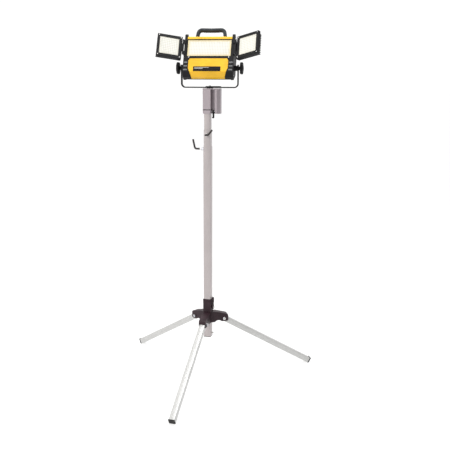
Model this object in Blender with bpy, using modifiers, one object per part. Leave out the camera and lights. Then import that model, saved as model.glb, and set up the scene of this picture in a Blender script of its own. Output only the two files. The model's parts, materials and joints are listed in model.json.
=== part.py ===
"""Three-panel LED work light on a folding tripod with a telescopic square-tube mast.

Metres, +Z up. The front of the light faces -Y and its width runs along X. The feet stand on Z = 0.
"""

import math

import bmesh
import bpy
from mathutils import Matrix, Vector

# ---------------------------------------------------------------------------
# Driving dimensions
# ---------------------------------------------------------------------------
GAP = 0.0003                    # clearance between touching pieces

# Tripod
LEG_AZIMUTHS = {"front": -90.0, "right": 30.0, "left": 150.0}
LEG_SIZE = 0.030                # square leg tube
LEG_WALL = 0.0018
LEG_STUB = 0.014                # leg tube inside its pivot
PIVOT_RADIUS = 0.087            # leg pivots from the mast axis
PIVOT_Z = 0.3135
FOOT_END_RADIUS = 0.595         # centre of a foot's end face from the mast axis
FOOT_END_Z = 0.0115
FOOT_SIZE = 0.032
FOOT_HEAD = 0.0055              # thickness of the foot beyond the end of its tube
FOOT_PLUG = 0.024               # length of the foot inside its tube

LEG_RUN = FOOT_END_RADIUS - PIVOT_RADIUS
LEG_DROP = PIVOT_Z - FOOT_END_Z
LEG_SLOPE = math.atan2(LEG_DROP, LEG_RUN)
LEG_REACH = math.hypot(LEG_RUN, LEG_DROP)

# The stand's axis sits behind the origin, so that the origin is at the middle of the footprint.
FOOT_TIP = FOOT_END_RADIUS + 0.5 * FOOT_SIZE * math.sin(LEG_SLOPE)
REAR_TIP = FOOT_TIP * math.sin(math.radians(30)) + 0.5 * FOOT_SIZE * math.cos(math.radians(30))
MAST_Y = 0.5 * (FOOT_TIP - REAR_TIP)

# Hub
SLEEVE_SIZE = 0.044
SLEEVE_BOTTOM = 0.297
SLEEVE_TOP = 0.432
CHEEK = 0.0032
SLOT_WIDTH = LEG_SIZE + 0.0012
ARM_WIDTH = SLOT_WIDTH + 2 * CHEEK
ARM_END = 0.109                 # arm tip from the mast axis
LIP_THICK = 0.0065              # stop lip at the arm tip, clear of a folded leg
WEB_BELOW = 0.0225              # underside of the arm's top web above the pivot
STOP_CLEAR = 0.0008              # between a spread leg and its stop lip
BOLT_RADIUS = 0.004             # leg pivot bolts
HEX_RADIUS = 0.0075             # hex heads and nuts, to their corners
HUB_BOLT_RADIUS = 0.003
LEVER_BOSS = 0.003              # the lever's seat, proud of the sleeve
LEVER_THICK = 0.0055
LEVER_Z = 0.384
LEVER_LENGTH = 0.058
LEVER_EYE = 0.012

# Mast
BASE_SIZE = 0.0381
MIDDLE_SIZE = 0.0347
TOP_SIZE = 0.0313
MAST_WALL = 0.0014
BASE_BOTTOM = 0.2185
BASE_TOP = 1.250
MIDDLE_BOTTOM = 0.300
MIDDLE_TOP = 1.334
TOP_BOTTOM = 0.380
TOP_TOP = 1.508
STOP_SCREW_Z = 0.236
BASE_CLAMP_Z = 1.2372
MIDDLE_CLAMP_Z = 1.3115
STOP_SCREW_RADIUS = 0.0025
CLAMP_ROD = 0.0035
CLAMP_TIP = 0.0006              # between a clamp screw's end and the tube that it presses
BOSS_RADIUS = 0.008
BASE_BOSS = 0.017               # boss lengths
MIDDLE_BOSS = 0.011
BASE_CLAMP_BEND = ((-0.069, 0, 0), (-0.080, 0, 0.048))      # corner and end
MIDDLE_CLAMP_BEND = ((0, -0.048, 0), (0.013, -0.050, 0.001), (0.018, -0.050, 0.003),
                     (0.038, -0.050, 0.027))

# Adapter on the top tube
ADAPTER_HALF = 0.0205           # half of the socket's outer size
ADAPTER_BOTTOM = 1.4177
ADAPTER_TOP = 1.5385
ADAPTER_RIGHT = 0.067
GROOVE_RIGHT = 0.044
GROOVE_BACK = 0.004
POST_WALL = 0.0035
SEAM_Z = 1.4367
SEAM_DEPTH = 0.0012
SEAM_HALF = 0.0014
PLATE_TOP = 1.5432
HOOK_Z = 1.430
HOOK_Y = -0.009
HOOK_PIN_RADIUS = 0.0015

# Yoke
YOKE_X = 0.011                  # pan axis from the mast axis
TILT_Z = 1.642                  # tilt axis height
PAN_ANGLE = math.radians(8)     # the light is turned a little to its left
PITCH_ANGLE = math.radians(28)  # the light looks up a little
YOKE_HALF = 0.146
YOKE_STRAP = 0.006
YOKE_WIDTH = 0.025
YOKE_DROP = 0.09675             # strap's underside below the tilt axis
YOKE_RISE = 0.018
YOKE_BEND = 0.022
YOKE_BOLT_RADIUS = 0.003
CLAMP_PLATE_LEFT = -0.020
CLAMP_PLATE_RIGHT = 0.056
CLAMP_PLATE_THICK = 0.003

# Light head, measured from the tilt axis
FRONT = -0.0635
CAP_OUTER = 0.1255
CAP_INNER = 0.1125
SHELL_HALF = 0.0995
BEZEL_HALF = 0.1120
LENS_HALF = 0.1082
LENS_LOW = 0.0343
LENS_HIGH = 0.1212
SHELL_TOP = 0.0205
HOUSING_FRONT = -0.0205
HOUSING_BACK = 0.034
FIN_BACK = 0.046
COVER_LOW = 0.1275
COVER_TOP = 0.1445
HANDLE_TOP = 0.207
HANDLE_THICK = 0.0165
HANDLE_FRONT = 0.014
HANDLE_BACK = 0.036
LABEL_LEFT = -0.073
LABEL_RIGHT = 0.063
LABEL_LOW = -0.0500
LABEL_HIGH = -0.0245
BOARD_HALF = 0.105
REAR_ROW_Z = -0.010             # power button and cable gland on the back
BUTTON_X = -0.05
BUTTON_RADIUS = 0.0080
GLAND_X = 0.05
GLAND_RADIUS = 0.0060
CHEEK_GROOVES = (-0.042, -0.022, -0.002)
CHEEK_GROOVE_HALF = 0.0038
CAP_BOSS_RADIUS = 0.013
CAP_BOSS_END = 0.1380
WASHER_START = 0.1383           # friction washer between an end cap and the yoke
WASHER_END = 0.1397
KNOB_RADIUS = 0.0305
KNOB_START = YOKE_HALF + 0.007
KNOB_END = YOKE_HALF + 0.022
STUD_RADIUS = 0.004
STUD_START = 0.114
STUD_CLEAR = 0.0006

# Wings, measured from each wing's hinge axis
HINGE_X = 0.1310
HINGE_Y = -0.0680
WING_IN = 0.0050
WING_OUT = 0.1295
WING_FRONT = 0.0025
WING_BACK = 0.0195
WING_FIN = 0.0310
WING_LOW = 0.0155
WING_HIGH = 0.1375
WING_LENS = (0.0215, 0.1170, 0.0310, 0.1210)   # inner, outer, low, high
WING_SWING = {"left": math.radians(18), "right": math.radians(28)}
PIN_RADIUS = 0.002
PIN_LOW = 0.0385
PIN_HIGH = 0.1215
KNUCKLE_RADIUS = 0.0042
CAP_KNUCKLES = ((0.0400, 0.0585), (0.1015, 0.1200))
WING_KNUCKLE = (0.0595, 0.1005)

# Ways to stand an outline up: drawn in (across, up), thickness along the third direction.
FACING_FRONT = Matrix(((1, 0, 0, 0), (0, 0, -1, 0), (0, 1, 0, 0), (0, 0, 0, 1)))
FACING_SIDE = Matrix(((0, 0, 1, 0), (1, 0, 0, 0), (0, 1, 0, 0), (0, 0, 0, 1)))
FACING_UP = Matrix.Identity(4)


# ---------------------------------------------------------------------------
# Scene set-up
# ---------------------------------------------------------------------------
def clear_scene():
    for old in list(bpy.data.objects):
        bpy.data.objects.remove(old, do_unlink=True)


def make_collection(name):
    collection = bpy.data.collections.new(name)
    bpy.context.scene.collection.children.link(collection)
    return collection


def make_material(name, colour, roughness, metallic=0.0):
    look = bpy.data.materials.new(name)
    look.use_nodes = True
    shader = look.node_tree.nodes["Principled BSDF"]
    shader.inputs["Base Color"].default_value = (*colour, 1.0)
    shader.inputs["Roughness"].default_value = roughness
    shader.inputs["Metallic"].default_value = metallic
    return look


clear_scene()
PARTS = make_collection("work_light")
TOOLS = make_collection("work_light_cutters")

ALUMINIUM = make_material("aluminium", (0.72, 0.70, 0.69), 0.35, 1.0)
STEEL = make_material("zinc_steel", (0.70, 0.70, 0.72), 0.3, 1.0)
HUB_BLACK = make_material("hub_black", (0.035, 0.028, 0.032), 0.5)
BLACK_PLASTIC = make_material("black_plastic", (0.03, 0.03, 0.033), 0.5)
CHARCOAL = make_material("charcoal_grip", (0.045, 0.05, 0.055), 0.6)
YELLOW = make_material("yellow_plastic", (0.87, 0.55, 0.03), 0.35)
RUBBER = make_material("rubber", (0.03, 0.03, 0.03), 0.8)
LENS = make_material("lens", (0.95, 0.94, 0.90), 0.2)
BOARD = make_material("led_board", (0.90, 0.88, 0.78), 0.5)
DARK_STEEL = make_material("painted_steel", (0.04, 0.045, 0.045), 0.45)


# ---------------------------------------------------------------------------
# Modelling helpers
# ---------------------------------------------------------------------------
def make_empty(name, parent=None, location=(0, 0, 0), rotation=(0, 0, 0)):
    empty = bpy.data.objects.new(name, None)
    PARTS.objects.link(empty)
    empty.parent = parent
    empty.location = location
    empty.rotation_euler = rotation
    return empty


def make_piece(name, mesh, parent, look):
    mesh.materials.clear()
    mesh.materials.append(look)
    piece = bpy.data.objects.new(name, mesh)
    PARTS.objects.link(piece)
    piece.parent = parent
    return piece


def make_tool(mesh, parent):
    tool = bpy.data.objects.new("cutter", mesh)
    TOOLS.objects.link(tool)
    tool.parent = parent
    tool.hide_render = True
    tool.display_type = "WIRE"
    return tool


def combine(piece, operation, meshes, parent=None):
    for mesh in meshes:
        step = piece.modifiers.new(operation.lower(), "BOOLEAN")
        step.operation = operation
        step.solver = "EXACT"
        step.object = make_tool(mesh, parent or piece.parent)
    return piece


def cut(piece, *meshes, parent=None):
    return combine(piece, "DIFFERENCE", meshes, parent)


def fuse(piece, *meshes):
    return combine(piece, "UNION", meshes)


def round_edges(piece, width, segments=2, angle=30):
    bevel = piece.modifiers.new("rounded edges", "BEVEL")
    bevel.width = width
    bevel.segments = segments
    bevel.limit_method = "ANGLE"
    bevel.angle_limit = math.radians(angle)
    return piece


def mesh_from(builder):
    """Run a function on an empty bmesh and return the finished mesh."""
    shape = bmesh.new()
    builder(shape)
    mesh = bpy.data.meshes.new("shape")
    shape.to_mesh(mesh)
    shape.free()
    return mesh


def block(corner, opposite):
    """A box between two opposite corners, given in any order."""
    low = Vector(min(pair) for pair in zip(corner, opposite))
    high = Vector(max(pair) for pair in zip(corner, opposite))
    size = high - low
    place = Matrix.Translation((low + high) / 2) @ Matrix.Diagonal((*size, 1))
    return mesh_from(lambda shape: bmesh.ops.create_cube(shape, size=1, matrix=place))


def rod(start, end, radius, sides=24, end_radius=None):
    """A cylinder or cone between two points, shaded smooth round its side."""
    start, end = Vector(start), Vector(end)
    along = end - start
    turn = along.to_track_quat("Z", "Y").to_matrix().to_4x4()
    place = Matrix.Translation((start + end) / 2) @ turn
    tip = radius if end_radius is None else end_radius
    mesh = mesh_from(lambda shape: bmesh.ops.create_cone(
        shape, cap_ends=True, segments=sides, radius1=radius, radius2=tip,
        depth=along.length, matrix=place))
    return shade_round(mesh)


def shade_round(mesh, angle=40):
    mesh.shade_smooth()
    mesh.set_sharp_from_angle(angle=math.radians(angle))
    return mesh


def weld(mesh):
    shape = bmesh.new()
    shape.from_mesh(mesh)
    bmesh.ops.remove_doubles(shape, verts=shape.verts, dist=0.00001)
    shape.to_mesh(mesh)
    shape.free()
    return mesh


def mesh_of_curve(curve):
    """Turn curve data into a welded mesh and remove the curve."""
    holder = bpy.data.objects.new("outline", curve)
    bpy.context.scene.collection.objects.link(holder)
    bpy.context.view_layer.update()
    evaluated = holder.evaluated_get(bpy.context.evaluated_depsgraph_get())
    mesh = bpy.data.meshes.new_from_object(evaluated)
    bpy.data.objects.remove(holder)
    return weld(mesh)


def slab(outline, start, end, facing=FACING_UP, holes=()):
    """A flat outline given a thickness from start to end along its third direction."""
    curve = bpy.data.curves.new("outline", "CURVE")
    curve.dimensions = "2D"
    curve.fill_mode = "BOTH"
    curve.extrude = abs(end - start) / 2
    for loop in (outline, *holes):
        spline = curve.splines.new("POLY")
        spline.points.add(len(loop) - 1)
        for point, (across, up) in zip(spline.points, loop):
            point.co = (across, up, 0, 1)
        spline.use_cyclic_u = True
    mesh = mesh_of_curve(curve)
    mesh.transform(facing @ Matrix.Translation((0, 0, (start + end) / 2)))
    return mesh


def bent_rod(points, radius, resolution=2):
    """A round rod along a list of points."""
    curve = bpy.data.curves.new("rod", "CURVE")
    curve.dimensions = "3D"
    curve.bevel_depth = radius
    curve.bevel_resolution = resolution
    curve.use_fill_caps = True
    spline = curve.splines.new("POLY")
    spline.points.add(len(points) - 1)
    for point, place in zip(spline.points, points):
        point.co = (*place, 1)
    return shade_round(mesh_of_curve(curve))


def arc(centre, radius, start, end, steps):
    """Points round part of a circle, with angles in degrees."""
    angles = [math.radians(start + (end - start) * i / steps) for i in range(steps + 1)]
    return [(centre[0] + radius * math.cos(a), centre[1] + radius * math.sin(a)) for a in angles]


def smooth_bend(start, corner, end, radius, steps=5):
    """Points that turn a corner between two straight runs along a quadratic curve."""
    start, corner, end = Vector(start), Vector(corner), Vector(end)
    first = corner + (start - corner).normalized() * radius
    last = corner + (end - corner).normalized() * radius
    turn = []
    for i in range(steps + 1):
        t = i / steps
        turn.append(first * (1 - t) ** 2 + corner * (2 * t * (1 - t)) + last * t ** 2)
    return [start, *turn, end]


def square(half, centre=(0, 0)):
    x, y = centre
    return [(x - half, y - half), (x + half, y - half), (x + half, y + half), (x - half, y + half)]


def box_outline(left, right, low, high):
    return [(left, low), (right, low), (right, high), (left, high)]


def square_tube(name, size, wall, low, high, parent, look):
    """A square tube standing along Z, open at both ends."""
    mesh = slab(square(size / 2), low, high, holes=(square(size / 2 - wall),))
    return make_piece(name, mesh, parent, look)


def comb(outer, base, low, high, pitch, fin):
    """Outline points of fins that stand from base out to outer, from low up to high."""
    points = []
    count = int((high - low) / pitch)
    for i in range(count):
        foot = low + i * pitch
        points += [(base, foot), (outer, foot), (outer, foot + fin), (base, foot + fin)]
    return points


# ---------------------------------------------------------------------------
# Tripod
# ---------------------------------------------------------------------------
def leg_top_height(distance):
    """Height of a spread leg's upper face over its pivot, at a distance outwards."""
    return 0.5 * LEG_SIZE / math.cos(LEG_SLOPE) - distance * math.tan(LEG_SLOPE)


def arm_outline():
    """Side view of one hub arm, in distance from the mast axis and height."""
    tip = ARM_END
    end_round = arc((tip - 0.010, PIVOT_Z + 0.0165), 0.010, 75, 0, 4)
    low_round = arc((tip - 0.009, PIVOT_Z - 0.0055), 0.009, 0, -90, 4)
    underside = arc((0.054, PIVOT_Z - 0.030), 0.0235, 50, 130, 6)
    return [(0.010, PIVOT_Z + 0.045), (0.044, PIVOT_Z + 0.042), *end_round, *low_round,
            (0.074, PIVOT_Z - 0.0145), *underside, (0.032, SLEEVE_BOTTOM), (0.010, SLEEVE_BOTTOM)]


def arm_slot_outline():
    """Side view of the room for the leg, with a lip at the tip that the spread leg rests on."""
    lip = ARM_END - LIP_THICK - PIVOT_RADIUS
    beyond = 0.060
    inner = PIVOT_RADIUS - 0.024
    return [(inner, PIVOT_Z - 0.080), (inner, PIVOT_Z + WEB_BELOW),
            (PIVOT_RADIUS + lip, PIVOT_Z + WEB_BELOW),
            (PIVOT_RADIUS + lip, PIVOT_Z + leg_top_height(lip) + STOP_CLEAR),
            (PIVOT_RADIUS + beyond, PIVOT_Z + leg_top_height(beyond) + STOP_CLEAR),
            (PIVOT_RADIUS + beyond, PIVOT_Z - 0.080)]


def build_hub(stand):
    sleeve = block((-SLEEVE_SIZE / 2, -SLEEVE_SIZE / 2, SLEEVE_BOTTOM),
                   (SLEEVE_SIZE / 2, SLEEVE_SIZE / 2, SLEEVE_TOP))
    hub = make_piece("hub_casting", sleeve, stand, HUB_BLACK)
    round_edges(hub, 0.003, 2)
    arms, slots, bolt_holes = [], [], []
    for azimuth in LEG_AZIMUTHS.values():
        turn = Matrix.Rotation(math.radians(azimuth), 4, "Z")
        facing = turn @ FACING_FRONT
        arms.append(slab(arm_outline(), -ARM_WIDTH / 2, ARM_WIDTH / 2, facing))
        slots.append(slab(arm_slot_outline(), -SLOT_WIDTH / 2, SLOT_WIDTH / 2, facing))
        side = Vector((PIVOT_RADIUS, ARM_WIDTH, PIVOT_Z))
        other = Vector((PIVOT_RADIUS, -ARM_WIDTH, PIVOT_Z))
        bolt_holes.append(rod(turn @ side, turn @ other, BOLT_RADIUS + GAP, 16))
    fuse(hub, *arms)
    seat = SLEEVE_SIZE / 2 + LEVER_BOSS
    fuse(hub, rod((SLEEVE_SIZE / 2 - 0.004, 0, LEVER_Z), (seat, 0, LEVER_Z), 0.010))
    cut(hub, *slots, *bolt_holes)
    inside = BASE_SIZE / 2 + 0.0004
    cut(hub, block((-inside, -inside, SLEEVE_BOTTOM - 0.01), (inside, inside, SLEEVE_TOP + 0.01)))
    cut(hub, rod((0.012, 0, LEVER_Z), (0.040, 0, LEVER_Z), HUB_BOLT_RADIUS + GAP, 16))


def build_hub_lever(stand):
    """A clamp lever that turns on a bolt in the hub's right side."""
    face = SLEEVE_SIZE / 2 + LEVER_BOSS + GAP
    thick = LEVER_THICK
    axis = make_empty("hub_lever_axis", stand, (face, 0, LEVER_Z))
    tip = 0.0065
    outline = [*arc((0, 0), LEVER_EYE, 180, 360, 8), *arc((-0.003, LEVER_LENGTH - tip), tip, 0, 180, 6)]
    lever = make_piece("hub_lever", slab(outline, 0, thick, FACING_SIDE), axis, HUB_BLACK)
    round_edges(lever, 0.0012, 1)
    fuse(lever, slab(box_outline(-0.0075, 0.0015, 0.030, LEVER_LENGTH - 0.004), 0.003, 0.0085,
                     FACING_SIDE))
    cut(lever, rod((-0.01, 0, 0), (0.02, 0, 0), HUB_BOLT_RADIUS + GAP, 16))
    shank = rod((-0.0055, 0, 0), (thick + 0.002, 0, 0), HUB_BOLT_RADIUS, 16)
    bolt = make_piece("hub_clamp_bolt", shank, make_empty("hub_bolt_place", stand, axis.location), STEEL)
    fuse(bolt, rod((thick + GAP, 0, 0), (thick + 0.0055, 0, 0), HEX_RADIUS, 6))


def build_leg(name, azimuth, stand):
    angle = math.radians(azimuth)
    place = (PIVOT_RADIUS * math.cos(angle), PIVOT_RADIUS * math.sin(angle), PIVOT_Z)
    pivot = make_empty("leg_pivot_" + name, stand, place, (0, LEG_SLOPE, angle))
    half = LEG_SIZE / 2
    foot_face = LEG_REACH - FOOT_HEAD
    tube_mesh = slab(square(half), -LEG_STUB, foot_face - GAP, FACING_SIDE,
                     holes=(square(half - LEG_WALL),))
    tube = make_piece("leg_tube_" + name, tube_mesh, pivot, ALUMINIUM)
    cut(tube, rod((0, -0.03, 0), (0, 0.03, 0), BOLT_RADIUS + GAP, 16))

    outer = FOOT_SIZE / 2
    foot = make_piece("foot_" + name, block((foot_face, -outer, -outer), (LEG_REACH, outer, outer)),
                      pivot, RUBBER)
    inside = half - LEG_WALL - GAP
    fuse(foot, block((foot_face - FOOT_PLUG, -inside, -inside), (foot_face + 0.001, inside, inside)))
    floor = block((-1, -1, -0.1), (1, 1, 0))
    cut(foot, floor, parent=stand)

    bolt_place = make_empty("leg_bolt_place_" + name, stand, place, (0, 0, angle))
    side = ARM_WIDTH / 2 + GAP
    shank = rod((0, -side - 0.001, 0), (0, side + 0.0065, 0), BOLT_RADIUS, 16)
    bolt = make_piece("pivot_bolt_" + name, shank, bolt_place, STEEL)
    fuse(bolt, rod((0, -side, 0), (0, -side - 0.004, 0), HEX_RADIUS, 12, 0.006))
    nut = make_piece("pivot_nut_" + name, rod((0, side, 0), (0, side + 0.0055, 0), HEX_RADIUS, 6),
                     bolt_place, STEEL)
    cut(nut, rod((0, side - 0.01, 0), (0, side + 0.02, 0), BOLT_RADIUS + GAP, 16))


# ---------------------------------------------------------------------------
# Mast
# ---------------------------------------------------------------------------
def build_boss(name, parent, start, end):
    boss = make_piece(name, rod(start, end, BOSS_RADIUS, 20), parent, STEEL)
    start, end = Vector(start), Vector(end)
    extra = (end - start).normalized() * 0.005
    return cut(boss, rod(start - extra, end + extra, CLAMP_ROD + GAP, 16))


def build_mast(stand):
    base = square_tube("mast_base_tube", BASE_SIZE, MAST_WALL, BASE_BOTTOM, BASE_TOP, stand, ALUMINIUM)
    half = BASE_SIZE / 2
    cut(base, rod((-half - 0.01, 0, BASE_CLAMP_Z), (0, 0, BASE_CLAMP_Z), CLAMP_ROD + GAP, 16))
    cut(base, rod((0, 0, STOP_SCREW_Z), (half + 0.01, 0, STOP_SCREW_Z), STOP_SCREW_RADIUS + GAP, 12))

    inside = half - MAST_WALL - GAP
    plug = make_piece("mast_base_plug", block((-inside, -inside, BASE_BOTTOM + 0.0015),
                                              (inside, inside, BASE_BOTTOM + 0.026)), stand, BLACK_PLASTIC)
    fuse(plug, block((-half, -half, BASE_BOTTOM - 0.003), (half, half, BASE_BOTTOM - GAP)))
    fuse(plug, block((-inside + 0.001, -inside + 0.001, BASE_BOTTOM - 0.001),
                     (inside - 0.001, inside - 0.001, BASE_BOTTOM + 0.005)))
    cut(plug, rod((0, 0, STOP_SCREW_Z), (half + 0.01, 0, STOP_SCREW_Z), STOP_SCREW_RADIUS + GAP, 12))

    screw = make_piece("mast_stop_screw", rod((0.004, 0, STOP_SCREW_Z), (half + 0.006, 0, STOP_SCREW_Z),
                                              STOP_SCREW_RADIUS, 12), stand, STEEL)
    fuse(screw, rod((half + 0.0055, 0, STOP_SCREW_Z), (half + 0.0115, 0, STOP_SCREW_Z), 0.0045, 6))

    boss_start = -half - GAP
    build_boss("base_clamp_boss", stand, (boss_start, 0, BASE_CLAMP_Z),
               (boss_start - BASE_BOSS, 0, BASE_CLAMP_Z))
    base_axis = make_empty("base_clamp_axis", stand, (0, 0, BASE_CLAMP_Z))
    corner, end = BASE_CLAMP_BEND
    path = smooth_bend((-MIDDLE_SIZE / 2 - CLAMP_TIP, 0, 0), corner, end, 0.008)
    make_piece("base_clamp_handle", bent_rod(path, CLAMP_ROD), base_axis, STEEL)

    square_tube("mast_middle_tube", MIDDLE_SIZE, MAST_WALL, MIDDLE_BOTTOM, MIDDLE_TOP, stand, ALUMINIUM)
    middle = bpy.data.objects["mast_middle_tube"]
    half = MIDDLE_SIZE / 2
    cut(middle, rod((0, -half - 0.01, MIDDLE_CLAMP_Z), (0, 0, MIDDLE_CLAMP_Z), CLAMP_ROD + GAP, 16))
    boss_start = -half - GAP
    build_boss("middle_clamp_boss", stand, (0, boss_start, MIDDLE_CLAMP_Z),
               (0, boss_start - MIDDLE_BOSS, MIDDLE_CLAMP_Z))
    middle_axis = make_empty("middle_clamp_axis", stand, (0, 0, MIDDLE_CLAMP_Z))
    corner, knee, lift, end = MIDDLE_CLAMP_BEND
    first = smooth_bend((0, -TOP_SIZE / 2 - CLAMP_TIP, 0), corner, knee, 0.007)
    second = smooth_bend(knee, lift, end, 0.004)
    make_piece("middle_clamp_handle", bent_rod([*first[:-1], *second[1:]], CLAMP_ROD), middle_axis, STEEL)

    square_tube("mast_top_tube", TOP_SIZE, MAST_WALL, TOP_BOTTOM, TOP_TOP, stand, ALUMINIUM)


# ---------------------------------------------------------------------------
# Adapter, hook and yoke
# ---------------------------------------------------------------------------
def build_adapter(stand):
    half = ADAPTER_HALF
    outline = [(-half, -half), (half, -half), (half, GROOVE_BACK), (GROOVE_RIGHT, GROOVE_BACK),
               (GROOVE_RIGHT, -half), (GROOVE_RIGHT + 0.0095, -half), (ADAPTER_RIGHT, -0.0075),
               (ADAPTER_RIGHT, half), (-half, half)]
    socket = square(TOP_SIZE / 2 + 0.00035)
    post_hole = box_outline(GROOVE_RIGHT + POST_WALL, ADAPTER_RIGHT - POST_WALL, -0.005, half - POST_WALL)
    body = make_piece("adapter_body", slab(outline, ADAPTER_BOTTOM, ADAPTER_TOP, holes=(socket, post_hole)),
                      stand, ALUMINIUM)
    outside, floor = -half - 0.01, -half + SEAM_DEPTH
    notch = [(outside, outside), (half, outside), (half, floor), (floor, floor), (floor, -outside),
             (outside, -outside)]
    cut(body, slab(notch, SEAM_Z - SEAM_HALF, SEAM_Z + SEAM_HALF))
    pin_end = GROOVE_RIGHT + 0.0025
    cut(body, rod((half - 0.0035, HOOK_Y, HOOK_Z), (pin_end, HOOK_Y, HOOK_Z), HOOK_PIN_RADIUS + GAP, 12))
    make_piece("hook_pin", rod((half - 0.0030, HOOK_Y, HOOK_Z), (pin_end - 0.0005, HOOK_Y, HOOK_Z),
                               HOOK_PIN_RADIUS, 12), stand, STEEL)

    plate = make_piece("adapter_plate", block((-half, -half, ADAPTER_TOP + GAP),
                                              (ADAPTER_RIGHT, half, PLATE_TOP)), stand, ALUMINIUM)
    inside = TOP_SIZE / 2
    fuse(plate, block((-inside, -inside, TOP_TOP + 0.004), (inside, inside, ADAPTER_TOP + 0.002)))
    cut(plate, rod((YOKE_X, 0, TOP_TOP + 0.010), (YOKE_X, 0, PLATE_TOP + 0.01), YOKE_BOLT_RADIUS + GAP,
                   16))


def build_hook(stand):
    """A small cable hook that swings on a pin across the adapter's groove."""
    middle = (ADAPTER_HALF + GROOVE_RIGHT) / 2
    axis = make_empty("cable_hook_axis", stand, (middle, HOOK_Y, HOOK_Z))
    eye = arc((0, 0), 0.0045, 150, 30, 4)
    outline = [*eye, (0.0040, -0.022), *arc((-0.004, -0.027), 0.0080, 0, -150, 7),
               *arc((-0.004, -0.027), 0.0040, -150, 0, 7), (-0.0010, -0.020), (-0.0040, -0.004)]
    hook = make_piece("cable_hook", slab(outline, -0.0045, 0.0045, FACING_SIDE), axis, BLACK_PLASTIC)
    cut(hook, rod((-0.02, 0, 0), (0.02, 0, 0), HOOK_PIN_RADIUS + GAP, 12))


def yoke_outline():
    inner = YOKE_HALF - YOKE_STRAP
    low = -YOKE_DROP
    bend = YOKE_BEND
    outer_left = arc((-YOKE_HALF + bend, low + bend), bend, 180, 270, 6)
    outer_right = arc((YOKE_HALF - bend, low + bend), bend, 270, 360, 6)
    small = bend - YOKE_STRAP
    inner_right = arc((inner - small, low + bend), small, 0, -90, 6)
    inner_left = arc((-inner + small, low + bend), small, -90, -180, 6)
    return [(-YOKE_HALF, YOKE_RISE), *outer_left, *outer_right, (YOKE_HALF, YOKE_RISE),
            (inner, YOKE_RISE), *inner_right, *inner_left, (-inner, YOKE_RISE)]


def build_yoke(stand):
    pan = make_empty("yoke_pan_axis", stand, (YOKE_X, 0, TILT_Z), (0, 0, PAN_ANGLE))
    half = YOKE_WIDTH / 2
    yoke = make_piece("yoke", slab(yoke_outline(), -half, half, FACING_FRONT), pan, DARK_STEEL)
    cut(yoke, rod((-0.2, 0, 0), (0.2, 0, 0), STUD_RADIUS + STUD_CLEAR, 20))
    cut(yoke, rod((0, 0, -YOKE_DROP - 0.01), (0, 0, -YOKE_DROP + 0.02), YOKE_BOLT_RADIUS + GAP, 16))

    low = -YOKE_DROP
    washer = make_piece("yoke_washer", rod((0, 0, PLATE_TOP - TILT_Z + GAP), (0, 0, low - GAP), 0.016, 28),
                        pan, RUBBER)
    cut(washer, rod((0, 0, low - 0.02), (0, 0, low + 0.01), YOKE_BOLT_RADIUS + GAP, 16))

    plate_low = low + YOKE_STRAP + GAP
    plate_high = plate_low + CLAMP_PLATE_THICK
    plate = make_piece("yoke_clamp_plate", block((CLAMP_PLATE_LEFT, -half, plate_low),
                                                 (CLAMP_PLATE_RIGHT, half, plate_high)), pan, DARK_STEEL)
    cut(plate, rod((0, 0, low), (0, 0, 0), YOKE_BOLT_RADIUS + GAP, 16))

    shank_low = TOP_TOP + 0.012 - TILT_Z
    shank = rod((0, 0, shank_low), (0, 0, plate_high + 0.001), YOKE_BOLT_RADIUS, 16)
    bolt = make_piece("yoke_bolt", shank, pan, STEEL)
    fuse(bolt, rod((0, 0, plate_high + GAP), (0, 0, plate_high + 0.0035), 0.0058, 6))
    return pan


# ---------------------------------------------------------------------------
# Light head
# ---------------------------------------------------------------------------
def cap_outline():
    return [(FRONT, -0.052), (-0.040, -0.0715), (-0.012, -0.0715), (0.048, -0.018), (0.048, 0.130),
            (0.022, 0.1595), (FRONT + 0.010, 0.1595), (FRONT, 0.150)]


def cheek_outline():
    """Front view of the block beside the yellow shell, on the right."""
    return [(SHELL_HALF + 0.0005, -0.032), (0.0845, -0.0705), (0.0845, -0.080), (CAP_INNER + 0.002, -0.080),
            (CAP_INNER + 0.002, SHELL_TOP), (0.0945, SHELL_TOP), (0.0945, SHELL_TOP - 0.003),
            (SHELL_HALF + 0.0005, 0.010)]


def build_end_cap(side, sign, head):
    cheek = [(sign * x, z) for x, z in cheek_outline()]
    cap = make_piece("end_cap_" + side, slab(cheek, -HOUSING_FRONT + 0.0006, -FRONT, FACING_FRONT), head,
                     BLACK_PLASTIC)
    combine(cap, "INTERSECT", [slab(cap_outline(), -0.2, 0.2, FACING_SIDE)])
    plate = slab(cap_outline(), *sorted((sign * CAP_INNER, sign * CAP_OUTER)), FACING_SIDE)
    fuse(cap, plate)
    fuse(cap, rod((sign * 0.118, 0, 0), (sign * CAP_BOSS_END, 0, 0), CAP_BOSS_RADIUS, 28))
    for low, high in CAP_KNUCKLES:
        fuse(cap, block((sign * (CAP_OUTER - 0.004), HINGE_Y - 0.0015, low),
                        (sign * (HINGE_X - 0.001), HINGE_Y + 0.0040, high)))
        fuse(cap, rod((sign * HINGE_X, HINGE_Y, low), (sign * HINGE_X, HINGE_Y, high), KNUCKLE_RADIUS, 16))
        fuse(cap, block((sign * (CAP_OUTER - 0.006), HINGE_Y - 0.0015, low),
                        (sign * (CAP_OUTER + 0.003), FRONT + 0.012, high)))
    cut(cap, rod((sign * HINGE_X, HINGE_Y, 0), (sign * HINGE_X, HINGE_Y, 0.2), PIN_RADIUS + GAP, 12))
    cut(cap, rod((sign * 0.10, 0, 0), (sign * 0.15, 0, 0), STUD_RADIUS + GAP, 20))
    for height in CHEEK_GROOVES:
        cut(cap, block((sign * (SHELL_HALF + 0.003), FRONT - 0.01, height - CHEEK_GROOVE_HALF),
                       (sign * (CAP_OUTER - 0.003), FRONT + 0.0022, height + CHEEK_GROOVE_HALF)))


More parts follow.
